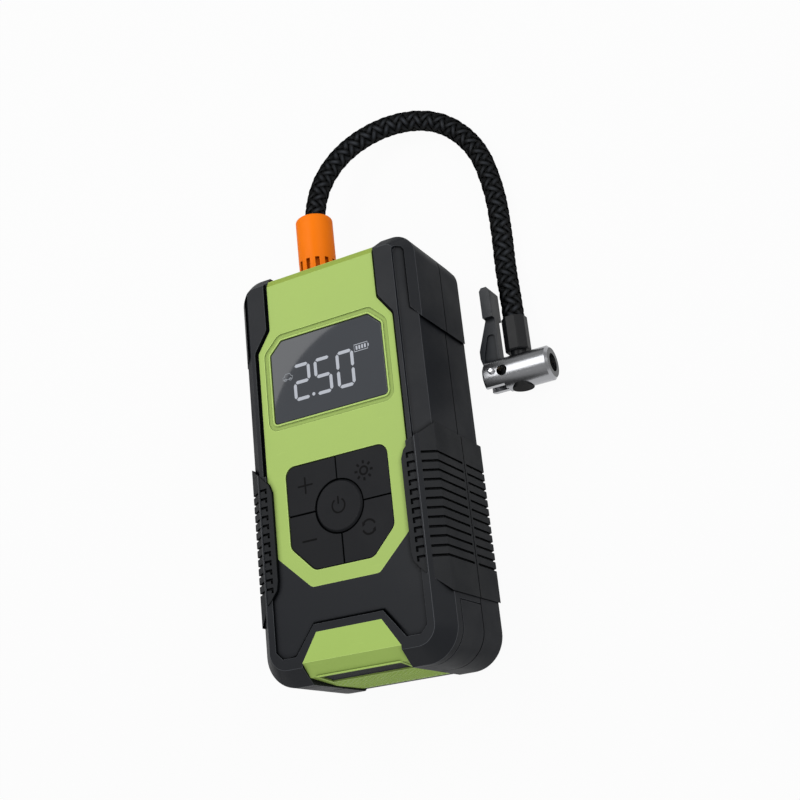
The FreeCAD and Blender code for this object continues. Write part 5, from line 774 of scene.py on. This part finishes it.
def dressed(node, width, edge=None, touch_up=None):
    """Merged copy of a solid with softened edges, riding on the same body."""
    source = nodes[node]
    mesh = source.data.copy()
    form = bmesh.new()
    form.from_mesh(mesh)
    bmesh.ops.remove_doubles(form, verts=form.verts, dist=1e-6)
    bmesh.ops.dissolve_limit(form, angle_limit=math.radians(0.6), verts=form.verts, edges=form.edges)
    if touch_up:
        touch_up(form)
    form.to_mesh(mesh)
    form.free()
    if mesh.has_custom_normals:
        mesh.attributes.remove(mesh.attributes["custom_normal"])
    mesh.materials.clear()
    mesh.materials.append(FINISHES[slot_of[node]])
    mesh.shade_smooth()
    mesh.set_sharp_from_angle(angle=EDGE_ANGLE)
    host = add_object(node + "_host", mesh)
    bevel = host.modifiers.new("soften", "BEVEL")
    bevel.width = width * MM
    bevel.segments = 2
    bevel.limit_method = "ANGLE"
    bevel.angle_limit = EDGE_ANGLE
    bevel.harden_normals = True
    # The bevel's own faces get the painted highlight, where one is given.
    if edge:
        mesh.materials.append(EXTRAS[edge])
        bevel.material = 1
    piece = frozen(host, node + "_dressed")
    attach(piece, body_of(source)[0])
    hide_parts(node)
    return piece


softened = {node: dressed(node, *how) for node, how in SOFT_EDGES.items()}
print("softened", len(softened), "solids with", sum(len(o.data.polygons) for o in softened.values()), "faces")

# %% [markdown]
# Some faces of the copies need another finish than the bevel left them. The slope at the panel's
# upper edge gets painted shade, a darker green for its turning away from the light. The painted
# highlight stays on the edges round the shell's face and is taken off the ones down at the seam.
# The chuck's mouth gets painted shade, a dark steel for the dark of its bore. A mask painted by hand
# would do it too; a test of where a face lies and which way it looks stays true if sizes change.

# %% Finish of single faces
SLOPE_FROM = 82.0  # along the panel
EDGE_HIGHLIGHT_FROM = 34.0  # height on the shell


def repaint(node, wanted, extra=None):
    """Give the faces that pass a test an extra finish, or else the piece's own one."""
    mesh = softened[node].data
    if extra:
        mesh.materials.append(EXTRAS[extra])
    picked = [face for face in mesh.polygons if wanted(face)]
    for face in picked:
        face.material_index = len(mesh.materials) - 1 if extra else 0
    print(len(picked), "faces of", node, "are", extra or "plain")


# Painted shade: the slope at the panel's upper edge in a darker green
repaint("front_panel", lambda face: face.center.y > SLOPE_FROM * MM and 0.8 < face.normal.z < 0.95,
        "green_slope_painted_shade")
# Painted highlight taken off the shell's edges below this height; they keep the plain finish
repaint("front_shell", lambda face: face.center.z < EDGE_HIGHLIGHT_FROM * MM)
# Painted shade: the chuck's mouth in a dark steel, for the dark of its bore
repaint("chuck_barrel", lambda face: face.normal.x > 0.9, "mouth_painted_shade")

# %% [markdown]
# The hose is free between the collar and the tool at its far end.

# %% [markdown]
# The printed signs are closed solids a few hundredths of a millimetre high that stand on the
# surfaces. Text objects would be the other way, but segments and strokes are simple outlines,
# so they are drawn from their corners: a prism over an outline, or a stroke of one width along a
# line. Both are half sunk into the surface that they stand on.

# %% Strokes and prisms
INK = 0.05  # how far a print stands out, and how deep it is sunk, in millimetres


def box(low, high):
    """Outline of a rectangle between two opposite corners."""
    return [low, (high[0], low[1]), high, (low[0], high[1])]


def polar(centre, radius, degrees):
    """Point at a distance and a direction from a centre."""
    angle = math.radians(degrees)
    return (centre[0] + radius * math.cos(angle), centre[1] + radius * math.sin(angle))


def arc(centre, radius, start, stop, steps=24):
    """Points of a circular arc, with its angles in degrees."""
    return [polar(centre, radius, start + (stop - start) * k / steps) for k in range(steps + 1)]


def prism(form, outline, level):
    """Closed straight-sided solid over a plan outline."""
    heights = (level - INK, level + INK)
    rings = [[form.verts.new((x * MM, y * MM, z * MM)) for x, y in outline] for z in heights]
    form.faces.new(rings[0][::-1])
    form.faces.new(rings[1])
    count = len(outline)
    for k in range(count):
        n = (k + 1) % count
        form.faces.new((rings[0][k], rings[0][n], rings[1][n], rings[1][k]))


def stroke(form, line, width, level, closed=False, rise=INK):
    """Closed solid of one width along a plan line."""
    points = [Vector(p) for p in line]
    low, high = level - INK, level + rise
    rows = []
    for k, point in enumerate(points):
        before = points[k - 1] if closed or k else point
        after = points[(k + 1) % len(points)] if closed or k < len(points) - 1 else point
        along = (after - before).normalized()
        side = Vector((-along.y, along.x)) * width / 2
        corners = ((point + side, low), (point - side, low), (point - side, high), (point + side, high))
        rows.append([form.verts.new((p.x * MM, p.y * MM, z * MM)) for p, z in corners])
    for row, following in zip(rows, rows[1:] + rows[:1] if closed else rows[1:]):
        for k in range(4):
            n = (k + 1) % 4
            form.faces.new((row[k], row[n], following[n], following[k]))
    if not closed:
        form.faces.new(rows[0][::-1])
        form.faces.new(rows[-1])


def printed(name, draw, ink, body):
    """The solids that a function draws, as one piece that rides on a body."""
    form = bmesh.new()
    draw(form)
    bmesh.ops.recalc_face_normals(form, faces=form.faces)
    mesh = bpy.data.meshes.new(name)
    form.to_mesh(mesh)
    form.free()
    mesh.materials.append(EXTRAS[ink])
    piece = add_object(name, mesh)
    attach(piece, body)
    print(name, "has", len(mesh.polygons), "faces on", body)


# %% [markdown]
# The display is a smoked window with pale digits that shine through it. On the real one they are
# lit segments under the glass. A picture on the window would be flat and would blur close by, so
# each bar is a solid with pointed ends, named by the letter that display makers give it. A
# battery and a small car stand beside the digits.

# %% Signs on the window
WINDOW = 54.65  # height of the window's face
DIGIT_WIDTH = 7.0
DIGIT_HEIGHT = 14.8
DIGIT_BASE = 27.2
BAR_WIDTH = 1.45
BAR_GAP = 0.3
DIGITS = (("abged", -15.9), ("afgcd", -5.5), ("abcdef", 5.2))  # lit bars and left edge of each digit
SEGMENTS = {  # both ends of each bar, as shares of the digit's width and height
    "a": ((0, 1), (1, 1)), "b": ((1, 1), (1, 0.5)), "c": ((1, 0.5), (1, 0)), "d": ((0, 0), (1, 0)),
    "e": ((0, 0.5), (0, 0)), "f": ((0, 1), (0, 0.5)), "g": ((0, 0.5), (1, 0.5)),
}


def draw_digits(form):
    """Three seven-segment digits of pointed bars, and the point after the first."""
    for lit, left in DIGITS:
        for bar in lit:
            first, last = (
                Vector((left + x * DIGIT_WIDTH, DIGIT_BASE + y * DIGIT_HEIGHT)) for x, y in SEGMENTS[bar])
            along = (last - first).normalized()
            side = Vector((-along.y, along.x)) * BAR_WIDTH / 2
            first, last = first + along * BAR_GAP, last - along * BAR_GAP
            point = along * BAR_WIDTH / 2
            prism(form, [first, first + point - side, last - point - side, last, last - point + side,
                         first + point + side], WINDOW)
    prism(form, arc((-7.3, 27.7), 0.75, 0, 330, 11), WINDOW)


def draw_battery(form):
    """Case, contact and four bars of charge."""
    stroke(form, box((13.6, 40.6), (19.9, 43.6)), 0.28, WINDOW, closed=True)
    prism(form, box((20.05, 41.5), (20.5, 42.7)), WINDOW)
    for k in range(4):
        left = 14.35 + 1.32 * k
        prism(form, box((left, 41.25), (left + 0.8, 42.95)), WINDOW)


def draw_car(form):
    """Outline of a small car, over two wheels that are a little lower."""
    body = [(-21.6, 37.3), (-21.6, 38.4), (-20.9, 38.7), (-20.3, 39.8), (-18.2, 39.8), (-17.6, 38.7),
            (-16.9, 38.4), (-16.9, 37.3)]
    stroke(form, body, 0.3, WINDOW, closed=True)
    for x in (-20.5, -18.0):
        stroke(form, arc((x, 37.2), 0.55, 0, 345, 23), 0.25, WINDOW, closed=True, rise=0.8 * INK)


printed("display_digits", draw_digits, "digit_light", "housing")
printed("battery_sign", draw_battery, "digit_light", "housing")
printed("car_sign", draw_car, "sign_light", "housing")

# %% [markdown]
# The keys have dark signs, moulded in and barely raised: plus, minus, a sun for the lamp, two
# arrows for the mode and the usual power sign. They could be one piece, but each sign rides on
# its key, so that it goes down with it.

# %% Signs on the keys
KEY_TOP = 54.7
POWER_TOP = 55.3
LINE = 0.75  # width of the sun's and the arrows' strokes


def draw_plus(form):
    """Upright cross."""
    bar, half = 0.33, 3.5
    prism(form, [(-15 + x, -10.2 + y) for x, y in (
        (-half, -bar), (-bar, -bar), (-bar, -half), (bar, -half), (bar, -bar), (half, -bar),
        (half, bar), (bar, bar), (bar, half), (-bar, half), (-bar, bar), (-half, bar))], KEY_TOP)


def draw_minus(form):
    """Flat bar."""
    prism(form, box((-18.4, -33.55), (-11.6, -32.85)), KEY_TOP)


def draw_sun(form):
    """Ring with eight rays."""
    sun = (12.5, -10.0)
    stroke(form, arc(sun, 1.65, 0, 352.5, 47), LINE, KEY_TOP, closed=True)
    for k in range(8):
        stroke(form, [polar(sun, 2.85, 45 * k), polar(sun, 4.15, 45 * k)], 0.9, KEY_TOP)


def draw_arrows(form):
    """Two arrows that chase each other round a circle."""
    middle, radius = (12.5, -33.1), 2.9
    for start in (20, 200):
        stroke(form, arc(middle, radius, start, start + 118), LINE, KEY_TOP)
        prism(form, [polar(middle, 2.05, start + 120), polar(middle, 3.75, start + 120),
                     polar(middle, radius, start + 150)], KEY_TOP)


def draw_power(form):
    """Open ring with an upright bar in its gap."""
    stroke(form, arc((0, -21.85), 2.9, 125, 415, 40), 0.62, POWER_TOP)
    stroke(form, [(0, -21.2), (0, -18.0)], 0.62, POWER_TOP)


KEY_SIGNS = {
    "plus": draw_plus, "minus": draw_minus, "lamp": draw_sun, "mode": draw_arrows, "power": draw_power}
for key, draw in KEY_SIGNS.items():
    printed(key + "_sign", draw, "sign_print", key + "_key")

# %% [markdown]
# The lower end face of the green trim has a moulded field of little diamonds, for the thumb that
# opens the cover. Geometry Nodes repeats one low pyramid over a chequered grid and drops every
# copy onto the face by casting a ray, so that the field follows the shape of the end. An array
# modifier would float over that slope.

# %% Diamond field on the lower end
TOWARDS_HOSE = (0, 1, 0)
RAY_LENGTH = 0.05
FACING_AWAY = -0.97  # a face of the end looks almost straight along -Y
FOOT_SHARE = 0.96  # of the pitch, so that neighbours don't touch


def make_diamond_group():
    """Pyramids on every second point of a grid, dropped onto the input surface along +Y."""
    tree, given = new_group("diamond_field", {
        "Pitch": "Float", "Columns": "Int", "Rows": "Int", "Centre": "Vector", "Height": "Float",
        "Sunk": "Float", "Material": "Material"})
    grid = add_node(tree, "GeometryNodeMeshGrid")
    for axis, label in (("X", "Columns"), ("Y", "Rows")):
        gaps = math_node(tree, "SUBTRACT", given[label], 1)
        feed(tree, grid, {"Vertices " + axis: given[label],
                          "Size " + axis: math_node(tree, "MULTIPLY", gaps, given["Pitch"])})
    upright = add_node(tree, "GeometryNodeTransform", {
        "Geometry": grid, "Translation": given["Centre"], "Rotation": (math.pi / 2, 0, 0)})
    # Index = row + column * rows, so the chequer is the parity of their sum
    index = add_node(tree, "GeometryNodeInputIndex").outputs["Index"]
    column = math_node(tree, "FLOOR", math_node(tree, "DIVIDE", index, given["Rows"]))
    row = math_node(tree, "MODULO", index, given["Rows"])
    odd = math_node(tree, "MODULO", math_node(tree, "ADD", column, row), 2)
    ray = add_node(tree, "GeometryNodeRaycast", {
        "Target Geometry": given["Geometry"], "Ray Direction": TOWARDS_HOSE, "Ray Length": RAY_LENGTH},
        data_type="FLOAT").outputs
    slope = add_node(tree, "ShaderNodeSeparateXYZ", {"Vector": ray["Hit Normal"]}).outputs["Y"]
    flat = math_node(tree, "LESS_THAN", slope, FACING_AWAY)
    on_end = math_node(tree, "MULTIPLY", math_node(tree, "MULTIPLY", flat, ray["Is Hit"]), odd)
    spots, lean, wanted = captured(tree, upright, lean=ray["Hit Normal"], wanted=on_end)
    placed = add_node(tree, "GeometryNodeSetPosition", {"Geometry": spots, "Position": ray["Hit Position"]})
    turned = add_node(tree, "FunctionNodeAlignRotationToVector", {"Vector": lean}, axis="Z")
    foot = math_node(tree, "MULTIPLY", given["Pitch"], FOOT_SHARE)
    depth = math_node(tree, "ADD", given["Height"], given["Sunk"])
    pyramid = add_node(tree, "GeometryNodeMeshCone", {
        "Vertices": 4, "Radius Top": 0.0, "Radius Bottom": foot, "Depth": depth})
    drop = add_node(tree, "ShaderNodeCombineXYZ", {"Z": math_node(tree, "MULTIPLY", given["Sunk"], -1.0)})
    lowered = add_node(tree, "GeometryNodeTransform", {"Geometry": pyramid, "Translation": drop})
    copies = add_node(tree, "GeometryNodeInstanceOnPoints", {
        "Points": placed, "Selection": wanted, "Instance": lowered, "Rotation": turned})
    close_group(tree, copies, given["Material"])
    return tree


diamonds = baked("trim_diamonds", softened["bottom_trim"].data.copy(), make_diamond_group(), {
    "Pitch": 1.25 * MM, "Columns": 31, "Rows": 20, "Centre": (0.0, -0.095, 0.0248), "Height": 0.42 * MM,
    "Sunk": 0.2 * MM, "Material": FINISHES["trim_green"]})
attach(diamonds, "housing")

# %% [markdown]
# The solids that keep their own mesh get their finish in every material slot they have.

# %% Finishes of the remaining solids
for name, node in nodes.items():
    for slot in node.material_slots:
        slot.material = FINISHES[slot_of[name]]
print("finished the frame's own solids")
